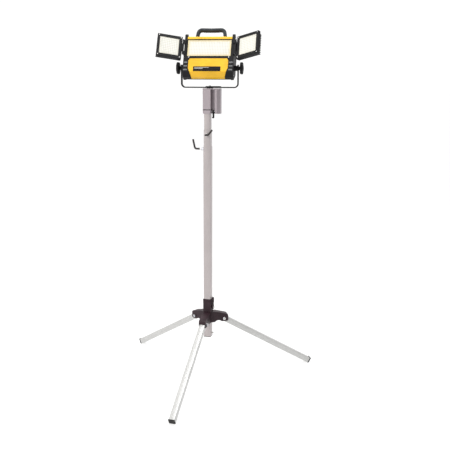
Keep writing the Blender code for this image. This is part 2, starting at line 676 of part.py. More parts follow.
def build_front_shell(head):
    front = FRONT + 0.001
    low = -0.0703
    outline = [(HOUSING_FRONT - GAP, SHELL_TOP), (front, SHELL_TOP), (front, -0.0515), (-0.0400, low),
               (HOUSING_FRONT - GAP, low)]
    shell = make_piece("front_shell", slab(outline, -SHELL_HALF, SHELL_HALF, FACING_SIDE), head, YELLOW)
    wall = 0.0026
    hollow = [(0, SHELL_TOP - wall), (front + wall, SHELL_TOP - wall), (front + wall, -0.0503),
              (-0.0390, low + wall), (0, low + wall)]
    for sign in (1, -1):
        low_corner = [(SHELL_HALF + 0.01, -0.032), (SHELL_HALF, -0.032), (0.0840, -0.0705),
                      (0.0840, -0.090), (SHELL_HALF + 0.01, -0.090)]
        high_corner = [(SHELL_HALF + 0.01, 0.010), (SHELL_HALF, 0.010), (0.0938, SHELL_TOP - 0.003),
                       (0.0938, 0.030), (SHELL_HALF + 0.01, 0.030)]
        for corner in (low_corner, high_corner):
            mirrored = [(sign * x, z) for x, z in corner]
            cut(shell, slab(mirrored, 0, 0.1, FACING_FRONT))
    cut(shell, slab(hollow, -0.081, 0.081, FACING_SIDE))


def build_top_cover(head):
    front = FRONT + 0.001
    back = 0.012
    low = COVER_TOP - 0.0028
    outline = [(front, COVER_LOW), (front, COVER_TOP - 0.006), (front + 0.006, COVER_TOP),
               (back, COVER_TOP), (back, low), (front + 0.0062, low), (front + 0.003, low - 0.003),
               (front + 0.003, COVER_LOW)]
    make_piece("top_cover", slab(outline, -BEZEL_HALF, BEZEL_HALF, FACING_SIDE), head, YELLOW)


def build_main_panel(head):
    bezel = make_piece("panel_bezel", block((-BEZEL_HALF, FRONT + 0.001, SHELL_TOP + GAP),
                                            (BEZEL_HALF, HOUSING_FRONT - GAP, COVER_LOW - GAP)),
                       head, BLACK_PLASTIC)
    opening = LENS_HALF + GAP
    cut(bezel, block((-opening, -0.1, LENS_LOW - GAP), (opening, -0.028, LENS_HIGH + GAP)))
    lens = make_piece("panel_lens", block((-LENS_HALF, -0.0608, LENS_LOW), (LENS_HALF, -0.0583, LENS_HIGH)),
                      head, LENS)
    round_edges(lens, 0.0006, 1)
    board = block((-BOARD_HALF, -0.0340, 0.037), (BOARD_HALF, -0.0320, 0.1185))
    make_piece("panel_led_board", board, head, BOARD)


def build_rear_housing(head):
    fins = comb(FIN_BACK, HOUSING_BACK, 0.014, 0.122, 0.0108, 0.0035)
    outline = [(HOUSING_FRONT, -0.0690), (-0.012, -0.0690), (HOUSING_BACK, -0.028), *fins,
               (HOUSING_BACK, 0.124), (0.014, 0.1412), (HOUSING_FRONT, 0.1412)]
    housing = make_piece("rear_housing", slab(outline, -BEZEL_HALF, BEZEL_HALF, FACING_SIDE), head,
                         BLACK_PLASTIC)
    hollow = [(HOUSING_FRONT - 0.01, -0.066), (-0.013, -0.066), (HOUSING_BACK - 0.003, -0.0265),
              (HOUSING_BACK - 0.003, 0.1225), (0.0125, 0.138), (HOUSING_FRONT - 0.01, 0.138)]
    cut(housing, slab(hollow, -BEZEL_HALF + 0.003, BEZEL_HALF - 0.003, FACING_SIDE))
    for across, radius in ((BUTTON_X, BUTTON_RADIUS), (GLAND_X, GLAND_RADIUS)):
        cut(housing, rod((across, 0.02, REAR_ROW_Z), (across, 0.05, REAR_ROW_Z), radius + GAP, 24))
    make_piece("led_driver", block((-0.060, -0.012, 0.012), (0.060, 0.020, 0.108)), head, STEEL)

    gland_axis = make_empty("gland_axis", head, (GLAND_X, HOUSING_BACK, REAR_ROW_Z))
    gland = make_piece("cable_gland", rod((0, -0.008, 0), (0, 0.011, 0), GLAND_RADIUS, 24), gland_axis,
                       BLACK_PLASTIC)
    fuse(gland, rod((0, GAP, 0), (0, 0.007, 0), 0.0100, 6))
    fuse(gland, rod((0, 0.0065, 0), (0, 0.016, 0), 0.0088, 24, 0.0066))
    cut(gland, rod((0, -0.03, 0), (0, 0.03, 0), 0.0036, 16))

    button_axis = make_empty("power_button_axis", head, (BUTTON_X, HOUSING_BACK, REAR_ROW_Z))
    button = make_piece("power_button", rod((0, -0.0055, 0), (0, 0.0035, 0), BUTTON_RADIUS, 24), button_axis,
                        RUBBER)
    fuse(button, rod((0, -0.0075, 0), (0, -0.0035, 0), BUTTON_RADIUS + 0.0015, 24))


def build_handle(head):
    """A carry handle with slanted legs on the top cover."""
    low = COVER_TOP + GAP
    right = [(0.0835, low), (0.0775, 0.174), *arc((0.0560, 0.1895), 0.0160, 15, 80, 4)]
    inner = [*arc((0.0500, 0.1815), 0.0080, 80, 15, 3), (0.0605, 0.171), (0.0660, low)]
    left = [(-x, z) for x, z in reversed(right)]
    inner_left = [(-x, z) for x, z in reversed(inner)]
    outline = [*right, (0.0, HANDLE_TOP), *left, *inner_left, (0.0, HANDLE_TOP - HANDLE_THICK), *inner]
    grip = slab(outline, HANDLE_FRONT, HANDLE_BACK, FACING_FRONT)
    handle = make_piece("carry_handle", grip, head, CHARCOAL)
    round_edges(handle, 0.0035, 2, 50)


def build_label(head):
    make_piece("label_plate", block((LABEL_LEFT, FRONT - 0.0004, LABEL_LOW),
                                    (LABEL_RIGHT, FRONT + 0.0007, LABEL_HIGH)), head, DARK_STEEL)


def knob_outline(lobes=8, steps=6):
    count = lobes * steps
    points = []
    for i in range(count):
        angle = 2 * math.pi * i / count
        radius = KNOB_RADIUS - 0.0022 + 0.0022 * math.cos(lobes * angle)
        points.append((radius * math.cos(angle), radius * math.sin(angle)))
    return points


def build_knob(side, sign, head):
    axis = make_empty("knob_axis_" + side, head)
    disc = slab(knob_outline(), *sorted((sign * KNOB_START, sign * KNOB_END)), FACING_SIDE)
    knob = make_piece("tilt_knob_" + side, disc, axis, BLACK_PLASTIC)
    round_edges(knob, 0.002, 1, 60)
    fuse(knob, rod((sign * (YOKE_HALF + GAP), 0, 0), (sign * (KNOB_START + 0.001), 0, 0), 0.009, 24))
    fuse(knob, rod((sign * STUD_START, 0, 0), (sign * (KNOB_START + 0.002), 0, 0), STUD_RADIUS, 20))
    fuse(knob, rod((sign * (KNOB_END - 0.002), 0, 0), (sign * (KNOB_END + 0.0025), 0, 0), 0.013, 24, 0.011))

    disc = rod((sign * WASHER_START, 0, 0), (sign * WASHER_END, 0, 0), CAP_BOSS_RADIUS + 0.001, 28)
    washer = make_piece("tilt_washer_" + side, disc, head, RUBBER)
    cut(washer, rod((sign * 0.13, 0, 0), (sign * 0.145, 0, 0), STUD_RADIUS + STUD_CLEAR, 20))


# ---------------------------------------------------------------------------
# Wings
# ---------------------------------------------------------------------------
def build_wing(side, sign, head):
    swing = -sign * WING_SWING[side]
    hinge = make_empty("wing_hinge_" + side, head, (sign * HINGE_X, HINGE_Y, 0), (0, 0, swing))
    inner, outer, low, high = WING_LENS
    split = WING_FRONT + 0.004

    sheet = block((sign * WING_IN, WING_FRONT, WING_LOW), (sign * WING_OUT, split, WING_HIGH))
    bezel = make_piece("wing_bezel_" + side, sheet, hinge, BLACK_PLASTIC)
    round_edges(bezel, 0.0012, 1)
    cut(bezel, block((sign * inner, -0.01, low), (sign * outer, 0.01, high)))

    lens = make_piece("wing_lens_" + side,
                      block((sign * (inner + GAP), WING_FRONT + 0.0012, low + GAP),
                            (sign * (outer - GAP), split - 0.0003, high - GAP)), hinge, LENS)
    round_edges(lens, 0.0005, 1)

    start = split + GAP
    fins = comb(WING_FIN, WING_BACK, WING_LOW + 0.003, WING_HIGH - 0.003, 0.0094, 0.0032)
    outline = [(start, WING_LOW), (WING_BACK, WING_LOW), *fins, (WING_BACK, WING_HIGH), (start, WING_HIGH)]
    body = slab(outline, *sorted((sign * WING_IN, sign * WING_OUT)), FACING_SIDE)
    housing = make_piece("wing_housing_" + side, body, hinge, BLACK_PLASTIC)
    cut(housing, block((sign * (inner - 0.006), -0.01, low - 0.006),
                       (sign * (outer + 0.006), WING_BACK - 0.004, high + 0.006)))
    knuckle_low, knuckle_high = WING_KNUCKLE
    fuse(housing, block((sign * 0.0008, -0.0035, knuckle_low),
                        (sign * (WING_IN + 0.003), 0.0100, knuckle_high)))
    fuse(housing, rod((0, 0, knuckle_low), (0, 0, knuckle_high), KNUCKLE_RADIUS, 16))
    cut(housing, rod((0, 0, 0), (0, 0, 0.2), PIN_RADIUS + GAP, 12))
    cut(housing, block((sign * (WING_IN - 0.0004), -0.01, 0.0), (sign * 0.05, start - GAP / 2, 0.2)))

    make_piece("wing_board_" + side, block((sign * (inner + 0.002), 0.0120, low + 0.002),
                                           (sign * (outer - 0.002), 0.0140, high - 0.002)), hinge, BOARD)
    shank = rod((0, 0, PIN_LOW), (0, 0, PIN_HIGH), PIN_RADIUS, 12)
    pin = make_piece("hinge_pin_" + side, shank, hinge, STEEL)
    fuse(pin, rod((0, 0, PIN_HIGH - 0.0012), (0, 0, PIN_HIGH + 0.001), 0.0034, 12))


# ---------------------------------------------------------------------------
# Assembly
# ---------------------------------------------------------------------------
def build():
    stand = make_empty("stand_axis", None, (0, MAST_Y, 0))
    build_hub(stand)
    build_hub_lever(stand)
    for name, azimuth in LEG_AZIMUTHS.items():
        build_leg(name, azimuth, stand)
    build_mast(stand)
    build_adapter(stand)
    build_hook(stand)
    pan = build_yoke(stand)

    head = make_empty("head_tilt_axis", pan, (0, 0, 0), (-PITCH_ANGLE, 0, 0))
    build_rear_housing(head)
    build_front_shell(head)
    build_top_cover(head)
    build_main_panel(head)
    build_handle(head)
    build_label(head)
    for side, sign in (("left", -1), ("right", 1)):
        build_end_cap(side, sign, head)
        build_knob(side, sign, head)
        build_wing(side, sign, head)
    bpy.context.view_layer.update()


build()
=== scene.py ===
"""Looks of the tripod work light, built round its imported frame.

Metres, +Z up, in the frame of the CAD model. Places and sizes come from the frame's boxes and joints.
"""

import json
import math

import bmesh
import bpy
from mathutils import Matrix, Vector


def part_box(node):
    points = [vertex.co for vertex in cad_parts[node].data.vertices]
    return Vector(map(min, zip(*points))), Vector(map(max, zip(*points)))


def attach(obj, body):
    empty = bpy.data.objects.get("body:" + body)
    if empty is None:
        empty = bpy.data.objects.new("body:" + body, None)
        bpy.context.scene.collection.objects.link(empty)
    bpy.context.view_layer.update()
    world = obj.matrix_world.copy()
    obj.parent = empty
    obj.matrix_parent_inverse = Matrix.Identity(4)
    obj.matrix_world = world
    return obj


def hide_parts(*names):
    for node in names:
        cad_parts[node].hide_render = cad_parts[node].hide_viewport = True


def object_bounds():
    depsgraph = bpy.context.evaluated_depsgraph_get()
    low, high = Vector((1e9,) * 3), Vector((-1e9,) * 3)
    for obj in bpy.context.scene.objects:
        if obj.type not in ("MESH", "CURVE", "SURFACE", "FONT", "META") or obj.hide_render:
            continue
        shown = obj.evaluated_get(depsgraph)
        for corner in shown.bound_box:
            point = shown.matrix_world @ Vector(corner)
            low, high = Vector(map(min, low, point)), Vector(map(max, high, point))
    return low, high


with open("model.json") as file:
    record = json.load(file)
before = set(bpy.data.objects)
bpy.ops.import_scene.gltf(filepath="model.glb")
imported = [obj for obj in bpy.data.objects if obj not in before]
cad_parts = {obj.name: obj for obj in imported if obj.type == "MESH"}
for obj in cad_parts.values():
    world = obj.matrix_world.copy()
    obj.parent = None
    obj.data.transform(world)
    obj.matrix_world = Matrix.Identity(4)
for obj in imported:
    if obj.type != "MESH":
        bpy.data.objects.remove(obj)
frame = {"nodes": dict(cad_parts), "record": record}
cad_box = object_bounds()

# ---------------------------------------------------------------------------
# Local frames, read from the joints
# ---------------------------------------------------------------------------
JOINTS = {joint["name"]: joint for joint in frame["record"]["behaviour"]["joints"]}
SLOT_OF = {row["node"]: row["material_slot"] for row in frame["record"]["subparts"]}
SIDES = {"left": -1, "right": 1}
LEGS = ("front", "right", "left")
UP = Vector((0, 0, 1))


def frame_at(origin, x_axis, z_axis):
    """A right-handed frame at origin with the given X and Z directions."""
    x, z = Vector(x_axis).normalized(), Vector(z_axis).normalized()
    turn = Matrix((x, z.cross(x), z)).transposed().to_4x4()
    return Matrix.Translation(origin) @ turn


def local_box(name, place):
    """Lowest and highest corner of a CAD node in a local frame."""
    back = place.inverted()
    points = [back @ vertex.co for vertex in frame["nodes"][name].data.vertices]
    low = Vector(min(point[i] for point in points) for i in range(3))
    high = Vector(max(point[i] for point in points) for i in range(3))
    return low, high


def wing_frame(side):
    """A wing's own frame at rest: origin on its hinge axis, X along its width, Z up the hinge."""
    joint = JOINTS["wing_swing_" + side]
    level = joint["range_deg"][0] if side == "left" else joint["range_deg"][1]
    hinge = HEAD.inverted() @ Vector(joint["pos_m"])
    hinge.z = 0
    return HEAD @ Matrix.Translation(hinge) @ Matrix.Rotation(-math.radians(level), 4, "Z")


def leg_frame(side):
    """A leg's own frame: origin on its pivot, Z down along the leg, Y along the pivot bolt."""
    joint = JOINTS["leg_fold_" + side]
    pivot = Vector(joint["pos_m"])
    points = frame["nodes"]["leg_tube_" + side].data.vertices
    middle = sum((vertex.co for vertex in points), Vector()) / len(points)
    along = (middle - pivot).normalized()
    across = Vector(joint["axis"])
    return frame_at(pivot, across.cross(along), along)


TILT_AXIS = JOINTS["head_tilt"]["axis"]
HEAD = frame_at(JOINTS["head_tilt"]["pos_m"], TILT_AXIS, JOINTS["wing_swing_left"]["axis"])
YOKE = frame_at(JOINTS["yoke_pan"]["pos_m"], TILT_AXIS, UP)
MAST_Y = JOINTS["yoke_pan"]["pos_m"][1]
MAST = Matrix.Translation((0, MAST_Y, 0))
FACE_FRONT = Matrix.Rotation(math.radians(90), 4, "X")
FACE_BACK = Matrix.Rotation(math.radians(-90), 4, "X")
FACE_RIGHT = Matrix.Rotation(math.radians(90), 4, "Y")
FACE_LEFT = Matrix.Rotation(math.radians(-90), 4, "Y")

# Sizes that the CAD nodes have but their boxes don't tell
HUB_SLEEVE_HALF = 0.022
ADAPTER_SEAM_Z = 1.4367
YOKE_STRAP = 0.006
YOKE_BEND = 0.022
CHEEK_GROOVES = (-0.042, -0.022, -0.002)

# Where the light's small details sit, from the middle of its tilt axis
REAR_SLOPE_Z = 0.133
REAR_SCREW_X = 0.098
BEZEL_SCREW_X = 0.100
CHEEK_SCREWS = ((-0.044, 0.142), (0.020, 0.142), (-0.030, -0.055))
LOUVRE_Y = -0.006
LOUVRE_START_Z = 0.048
LOUVRE_PITCH = 0.0145
LOUVRES = 6
LENS_MARGIN = 0.0030

# Starting points of the rays that find a housing's surface, outside the housing
BEHIND = 0.1
BESIDE = 0.2


# ---------------------------------------------------------------------------
# Materials
# ---------------------------------------------------------------------------
class Look:
    """A Principled material with a short way to write its nodes."""

    def __init__(self, name, roughness, metallic=0.0, **settings):
        self.material = bpy.data.materials.new(name)
        self.material.use_nodes = True
        self.nodes = self.material.node_tree.nodes
        self.links = self.material.node_tree.links
        self.shader = self.nodes["Principled BSDF"]
        self.set("Roughness", roughness)
        self.set("Metallic", metallic)
        for socket, value in settings.items():
            self.set(socket.replace("_", " "), value)
        self.place = self.add("ShaderNodeTexCoord").outputs["Object"]

    def feed(self, socket, value):
        """Link an output to a socket, or set the socket's own value."""
        if isinstance(value, bpy.types.NodeSocket):
            self.links.new(value, socket)
        else:
            socket.default_value = value

    def set(self, socket, value):
        self.feed(self.shader.inputs[socket], value)

    def add(self, kind, inputs=None, **settings):
        """A node with its inputs fed and its settings made."""
        node = self.nodes.new(kind)
        for key, value in settings.items():
            setattr(node, key, value)
        for key, value in (inputs or {}).items():
            self.feed(node.inputs[key], value)
        return node

    def mapped(self, stretch, turn=(0, 0, 0)):
        """Object coordinates turned, then stretched."""
        turned = self.add("ShaderNodeMapping", {"Vector": self.place, "Rotation": turn})
        scaled = self.add("ShaderNodeMapping", {"Vector": turned.outputs[0], "Scale": stretch})
        return scaled.outputs[0]

    def noise(self, scale, detail=3.0, where=None, roughness=0.55):
        texture = self.add("ShaderNodeTexNoise", {"Vector": where or self.place, "Scale": scale,
                                                  "Detail": detail, "Roughness": roughness})
        return texture.outputs["Fac"]

    def ramp(self, factor, *stops):
        """A colour that runs through (position, colour) stops."""
        node = self.add("ShaderNodeValToRGB", {"Fac": factor})
        points = node.color_ramp.elements
        while len(points) < len(stops):
            points.new(0.5)
        for point, (position, colour) in zip(points, stops):
            point.position = position
            point.color = (*colour, 1) if len(colour) == 3 else colour
        return node.outputs["Color"]

    def grade(self, factor, low, high, start=0.3, end=0.7):
        """A grey value that runs from low to high as the factor goes from start to end."""
        spread = self.add("ShaderNodeMapRange", {"Value": factor, "From Min": start, "From Max": end,
                                                 "To Min": low, "To Max": high})
        return spread.outputs[0]

    def mix(self, factor, first, second, blend="MIX"):
        node = self.add("ShaderNodeMix", data_type="RGBA", blend_type=blend)
        self.feed(node.inputs[0], factor)
        for socket, value in ((node.inputs[6], first), (node.inputs[7], second)):
            self.feed(socket, (*value, 1) if isinstance(value, tuple) and len(value) == 3 else value)
        return node.outputs[2]

    def math(self, operation, first, second=0.0):
        node = self.add("ShaderNodeMath", operation=operation)
        self.feed(node.inputs[0], first)
        self.feed(node.inputs[1], second)
        return node.outputs[0]

    def bump(self, *layers):
        """Stack bumps, each a height with its strength and its depth in metres."""
        normal = None
        for height, strength, depth in layers:
            inputs = {"Height": height, "Strength": strength, "Distance": depth}
            if normal:
                inputs["Normal"] = normal
            normal = self.add("ShaderNodeBump", inputs).outputs[0]
        self.set("Normal", normal)


def darker(colour, share):
    """A colour scaled by a share, which is over 1 for a lighter one."""
    return tuple(channel * share for channel in colour)


def drawn_aluminium(name, colour, turn=(0, 0, 0)):
    """Extruded tube: lines along its length, a few handling marks, patchy oxide."""
    look = Look(name, 0.36, 0.55)
    lines = look.noise(1.0, 4, look.mapped((900, 900, 14), turn))
    patches = look.noise(9, 3)
    marks = look.noise(1.0, 5, look.mapped((160, 160, 1500), turn), 0.6)
    scratch = look.grade(marks, 0, 0.4, 0.66, 0.74)
    tone = look.ramp(patches, (0.30, darker(colour, 0.90)), (0.70, colour))
    tone = look.mix(look.grade(lines, 0, 0.35), tone, darker(colour, 0.78))
    look.set("Base Color", look.mix(scratch, tone, darker(colour, 1.2)))
    look.set("Roughness", look.grade(lines, 0.27, 0.44))
    look.bump((lines, 0.25, 0.0003), (scratch, 0.2, 0.0002))
    return look.material


def cast_aluminium():
    """Grainy casting in two close greys."""
    look = Look("cast_aluminium", 0.5, 1.0)
    grain = look.noise(700, 4)
    tone = look.ramp(look.noise(25), (0.35, (0.44, 0.44, 0.45)), (0.65, (0.58, 0.58, 0.59)))
    look.set("Base Color", tone)
    look.set("Roughness", look.grade(grain, 0.42, 0.62))
    look.bump((grain, 0.4, 0.0004))
    return look.material


def zinc_steel():
    """Bright zinc plate with a faint yellow-blue cast and dulled patches."""
    look = Look("zinc_steel", 0.3, 1.0)
    cast = look.noise(60, 2)
    dull = look.noise(220, 4)
    look.set("Base Color", look.ramp(cast, (0.35, (0.56, 0.57, 0.61)), (0.65, (0.70, 0.68, 0.63))))
    look.set("Roughness", look.grade(dull, 0.20, 0.42))
    look.bump((dull, 0.15, 0.0002))
    return look.material


def powder_coat(name, colour, worn):
    """Baked coat: orange peel, faint mottling and small chips that show the metal."""
    look = Look(name, 0.45, 0.0, Specular_IOR_Level=0.28)
    peel = look.noise(420, 2)
    mottle = look.noise(35, 4)
    chips = look.grade(look.noise(260, 5, roughness=0.7), 0, 1, 0.735, 0.75)
    tone = look.ramp(mottle, (0.32, darker(colour, 0.8)), (0.68, darker(colour, 1.25)))
    look.set("Base Color", look.mix(chips, tone, worn))
    look.set("Roughness", look.grade(peel, 0.36, 0.55))
    look.bump((peel, 0.3, 0.0004), (look.noise(1600, 2), 0.1, 0.0002))
    return look.material


def moulded(name, colour, roughness, grain, depth, light=1.3, specular=0.45):
    """Injection-moulded plastic: spark texture, soft tone drift and light scuffs."""
    look = Look(name, roughness, 0.0, Specular_IOR_Level=specular)
    texture = look.noise(grain, 3)
    drift = look.noise(14, 3)
    scuff = look.grade(look.noise(1.0, 4, look.mapped((60, 60, 300), (0.5, 0.3, 0))), 0, 0.6, 0.62, 0.74)
    tone = look.ramp(drift, (0.32, darker(colour, 0.88)), (0.68, darker(colour, 1.08)))
    look.set("Base Color", look.mix(scuff, tone, darker(colour, light)))
    look.set("Roughness", look.grade(texture, roughness - 0.07, roughness + 0.10))
    look.bump((texture, 0.35, depth), (drift, 0.08, 0.002))
    return look.material


def rubber():
    """Matt black rubber with dust in its grain."""
    look = Look("rubber", 0.8, 0.0, Specular_IOR_Level=0.3)
    grain = look.noise(900, 3)
    dust = look.grade(look.noise(45, 5), 0, 0.5, 0.5, 0.75)
    look.set("Base Color", look.mix(dust, (0.022, 0.022, 0.022), (0.075, 0.072, 0.066)))
    look.set("Roughness", look.grade(grain, 0.68, 0.92))
    look.bump((grain, 0.4, 0.0003))
    return look.material


def led_board():
    """White solder mask with copper-toned tracks and rows of square LED chips."""
    look = Look("led_board", 0.45)
    cells = look.add("ShaderNodeTexBrick", {
        "Vector": look.mapped((1, 1, 1), (math.radians(90), 0, 0)), "Scale": 90.0, "Mortar Size": 0.30,
        "Color1": (0.95, 0.72, 0.10, 1), "Color2": (0.90, 0.66, 0.08, 1),
        "Mortar": (0.86, 0.86, 0.83, 1)}, offset=0.0)
    tracks = look.noise(1.0, 1, look.mapped((30, 30, 400)))
    tone = look.mix(look.grade(tracks, 0, 0.25), cells.outputs["Color"], (0.55, 0.62, 0.55))
    look.set("Base Color", tone)
    look.set("Roughness", look.grade(tracks, 0.35, 0.55))
    return look.material


def lit_diffuser(name, width, height, columns, rows, glow, border_tone):
    """A frosted cover over lit LEDs: bright cells, warm seams between them and a warm border."""
    look = Look(name, 0.28, 0.0, Specular_IOR_Level=0.4)
    parts = look.add("ShaderNodeSeparateXYZ", {"Vector": look.place})
    across = look.math("ABSOLUTE", look.math("DIVIDE", parts.outputs["X"], width / 2))
    upward = look.math("ABSOLUTE", look.math("DIVIDE", parts.outputs["Z"], height / 2))
    border_width = 0.010
    edge_across = look.math("POWER", across, width / border_width)
    edge_upward = look.math("POWER", upward, height / border_width)
    border = look.math("MAXIMUM", edge_across, edge_upward)

    def cell_distance(axis, size, count):
        """Distance from a cell's middle, in cells.

        start keeps the count positive and puts the cells' edges at whole numbers.
        """
        start = 100.5 if count % 2 else 100.0
        cells = look.math("ADD", look.math("DIVIDE", parts.outputs[axis], size / count), start)
        return look.math("ABSOLUTE", look.math("SUBTRACT", look.math("FRACT", cells), 0.5))

    seam = look.math("MAXIMUM", cell_distance("X", width, columns), cell_distance("Z", height, rows))
    body = look.ramp(seam, (0.20, (0.63, 0.625, 0.60)), (0.40, (0.58, 0.575, 0.53)),
                     (0.49, (0.38, 0.37, 0.31)))
    cloudy = look.mix(look.grade(look.noise(30, 2), 0, 0.12), body, (0.60, 0.58, 0.48))
    tone = look.mix(border, cloudy, border_tone)
    look.set("Base Color", tone)
    look.set("Emission Color", tone)
    look.set("Emission Strength", glow)
    look.bump((look.noise(1500, 2), 0.1, 0.0002))
    return look.material


def blank_label():
    """A dark glossy label with no print, only a faint brushed sheen."""
    look = Look("label", 0.25, 0.0, Specular_IOR_Level=0.2, Coat_Weight=0.1, Coat_Roughness=0.1)
    sheen = look.noise(1.0, 3, look.mapped((20, 20, 700)))
    look.set("Base Color", look.ramp(sheen, (0.3, (0.005, 0.005, 0.006)), (0.7, (0.014, 0.013, 0.014))))
    look.set("Roughness", look.grade(sheen, 0.16, 0.30))
    look.bump((sheen, 0.1, 0.0001))
    return look.material


# One look for each material slot of the record, except the lenses'
LOOKS = {
    "aluminium_tube": drawn_aluminium("mast_aluminium", (0.50, 0.455, 0.455)),
    "cast_aluminium": cast_aluminium(),
    "zinc_steel": zinc_steel(),
    "hub_black": powder_coat("hub_black", (0.028, 0.013, 0.018), (0.14, 0.12, 0.13)),
    "painted_steel": powder_coat("painted_steel", (0.011, 0.012, 0.013), (0.12, 0.12, 0.12)),
    "black_plastic": moulded("black_plastic", (0.009, 0.009, 0.010), 0.50, 1300, 0.0003, 2.5, 0.18),
    "charcoal_grip": moulded("charcoal_grip", (0.026, 0.031, 0.036), 0.66, 900, 0.0005, 1.8, 0.22),
    "yellow_plastic": moulded("yellow_plastic", (0.76, 0.43, 0.018), 0.36, 1500, 0.00015, 1.04, 0.35),
    "rubber": rubber(),
    "led_board": led_board(),
    "label": blank_label(),
}
LEG_LOOK = drawn_aluminium("leg_aluminium", (0.60, 0.60, 0.59))
ADAPTER_LOOK = drawn_aluminium("adapter_aluminium", (0.40, 0.35, 0.375))
# Lighter grey that paints a highlight onto the black cheek ribs; the power button's ring is drawn in it too
RIB_HIGHLIGHT_LOOK = moulded("rib_grey_painted_highlight", (0.16, 0.165, 0.17), 0.40, 1100, 0.0003, 1.3)
REFLECTOR_LOOK = moulded("warm_reflector", (0.80, 0.70, 0.42), 0.30, 1500, 0.0001, 1.05)
WING_RIM_LOOK = moulded("wing_reflector", (0.66, 0.64, 0.56), 0.30, 1500, 0.0001, 1.05)
PLATE_LOOK = moulded("rating_plate", (0.30, 0.30, 0.31), 0.35, 1500, 0.0001, 1.1)
CLAMP_LOOK = moulded("clamp_vinyl", (0.030, 0.024, 0.024), 0.45, 900, 0.0003, 1.6, 0.25)
PRINT_LOOK = moulded("label_print", (0.50, 0.50, 0.48), 0.35, 1500, 0.0001, 1.1)


# ---------------------------------------------------------------------------
# Mesh helpers
# ---------------------------------------------------------------------------
PIECES = bpy.data.collections.new("work_light_pieces")
bpy.context.scene.collection.children.link(PIECES)


def smooth(mesh, angle=35):
    """Shade smooth, with edges sharper than the angle kept sharp."""
    mesh.shade_smooth()
    mesh.set_sharp_from_angle(angle=math.radians(angle))
    return mesh


def mesh_of(points, faces, angle=35):
    """A mesh from points and faces, with its faces turned to point out."""
    mesh = bpy.data.meshes.new("piece")
    mesh.from_pydata([tuple(point) for point in points], [], faces)
    shape = bmesh.new()
    shape.from_mesh(mesh)
    bmesh.ops.recalc_face_normals(shape, faces=shape.faces)
    shape.to_mesh(mesh)
    shape.free()
    return smooth(mesh, angle)


def join(*meshes, angle=35):
    """Several closed shapes in one mesh."""
    shape = bmesh.new()
    for mesh in meshes:
        shape.from_mesh(mesh)
        bpy.data.meshes.remove(mesh)
    joined = bpy.data.meshes.new("piece")
    shape.to_mesh(joined)
    shape.free()
    return smooth(joined, angle)


def moved(mesh, matrix):
    """A mesh put in another place, its faces still pointing out."""
    mesh.transform(matrix)
    if matrix.determinant() < 0:
        mesh.flip_normals()
    return mesh


def stack(rings, close=False):
    """Faces between rings of equal length. The ends are capped, or joined to each other."""
    count = len(rings[0])
    points = [point for ring in rings for point in ring]
    faces = []
    pairs = [(i, i + 1) for i in range(len(rings) - 1)]
    if close:
        pairs.append((len(rings) - 1, 0))
    for lower, upper in pairs:
        for k in range(count):
            nxt = (k + 1) % count
            faces.append((lower * count + k, lower * count + nxt, upper * count + nxt, upper * count + k))
    if not close:
        faces.append(tuple(range(count)))
        faces.append(tuple(range((len(rings) - 1) * count, len(rings) * count)))
    return points, faces


def rounded_rectangle(half_across, half_up, radius, steps=4):
    """Outline points of a rectangle with round corners, centred on zero."""
    points = []
    corners = ((1, 1, 0), (-1, 1, 90), (-1, -1, 180), (1, -1, 270))
    for side, top, start in corners:
        for i in range(steps + 1):
            angle = math.radians(start + 90 * i / steps)
            points.append((side * (half_across - radius) + radius * math.cos(angle),
                           top * (half_up - radius) + radius * math.sin(angle)))
    return points


def circle_ring(radius, level, segments, shape=None):
    """A ring of points at a height; shape(angle, height) scales its radius."""
    ring = []
    for i in range(segments):
        angle = 2 * math.pi * i / segments
        reach = radius * (shape(angle, level) if shape else 1)
        ring.append((reach * math.cos(angle), reach * math.sin(angle), level))
    return ring


def circle(radius, steps=16):
    """A round section's outline points."""
    return [(x, y) for x, y, _ in circle_ring(radius, 0, steps)]


def soft_block(low, high, radius, steps=3):
    """A block with its edges rounded, between two corners."""
    low, high = Vector(map(min, low, high)), Vector(map(max, low, high))
    shape = bmesh.new()
    place = Matrix.Translation((low + high) / 2) @ Matrix.Diagonal((*(high - low), 1))
    bmesh.ops.create_cube(shape, size=1, matrix=place)
    bmesh.ops.bevel(shape, geom=list(shape.edges), offset=radius, segments=steps, profile=0.5,
                    affect="EDGES")
    mesh = bpy.data.meshes.new("piece")
    shape.to_mesh(mesh)
    shape.free()
    return smooth(mesh, 50)


def turned(profile, segments=32, shape=None):
    """A shape turned round Z from (height, radius) pairs; shape(angle, height) scales the radius."""
    return mesh_of(*stack([circle_ring(radius, height, segments, shape) for height, radius in profile]))


def sweep(path, section, across, tip=0.0, tip_steps=3, angle=40):
    """A section carried along a path, with ends rounded over a length of tip.

    across is the section's first direction at the start.
    """
    path = [Vector(point) for point in path]
    runs = [(b - a).normalized() for a, b in zip(path, path[1:])]
    ways = [runs[0], *[(a + b).normalized() for a, b in zip(runs, runs[1:])], runs[-1]]
    across = Vector(across).normalized()
    size = max(math.hypot(*point) for point in section)
    ends = []
    if tip:
        turns = [math.pi / 2 * i / tip_steps for i in range(tip_steps)]
        ends = [(tip * math.cos(turn), 1 - tip / size * (1 - math.sin(turn))) for turn in turns]
    path[0] = path[0] + ways[0] * tip
    path[-1] = path[-1] - ways[-1] * tip

    def ring(centre, way, share):
        """The section, scaled, at a point of the path."""
        second = way.cross(across)
        return [centre + across * (a * share) + second * (b * share) for a, b in section]

    rings = [ring(path[0] - ways[0] * reach, ways[0], share) for reach, share in ends]
    for i, centre in enumerate(path):
        if i:
            across.rotate(ways[i - 1].rotation_difference(ways[i]))
        rings.append(ring(centre, ways[i], 1))
    rings += [ring(path[-1] + ways[-1] * reach, ways[-1], share) for reach, share in reversed(ends)]
    return mesh_of(*stack(rings), angle=angle)


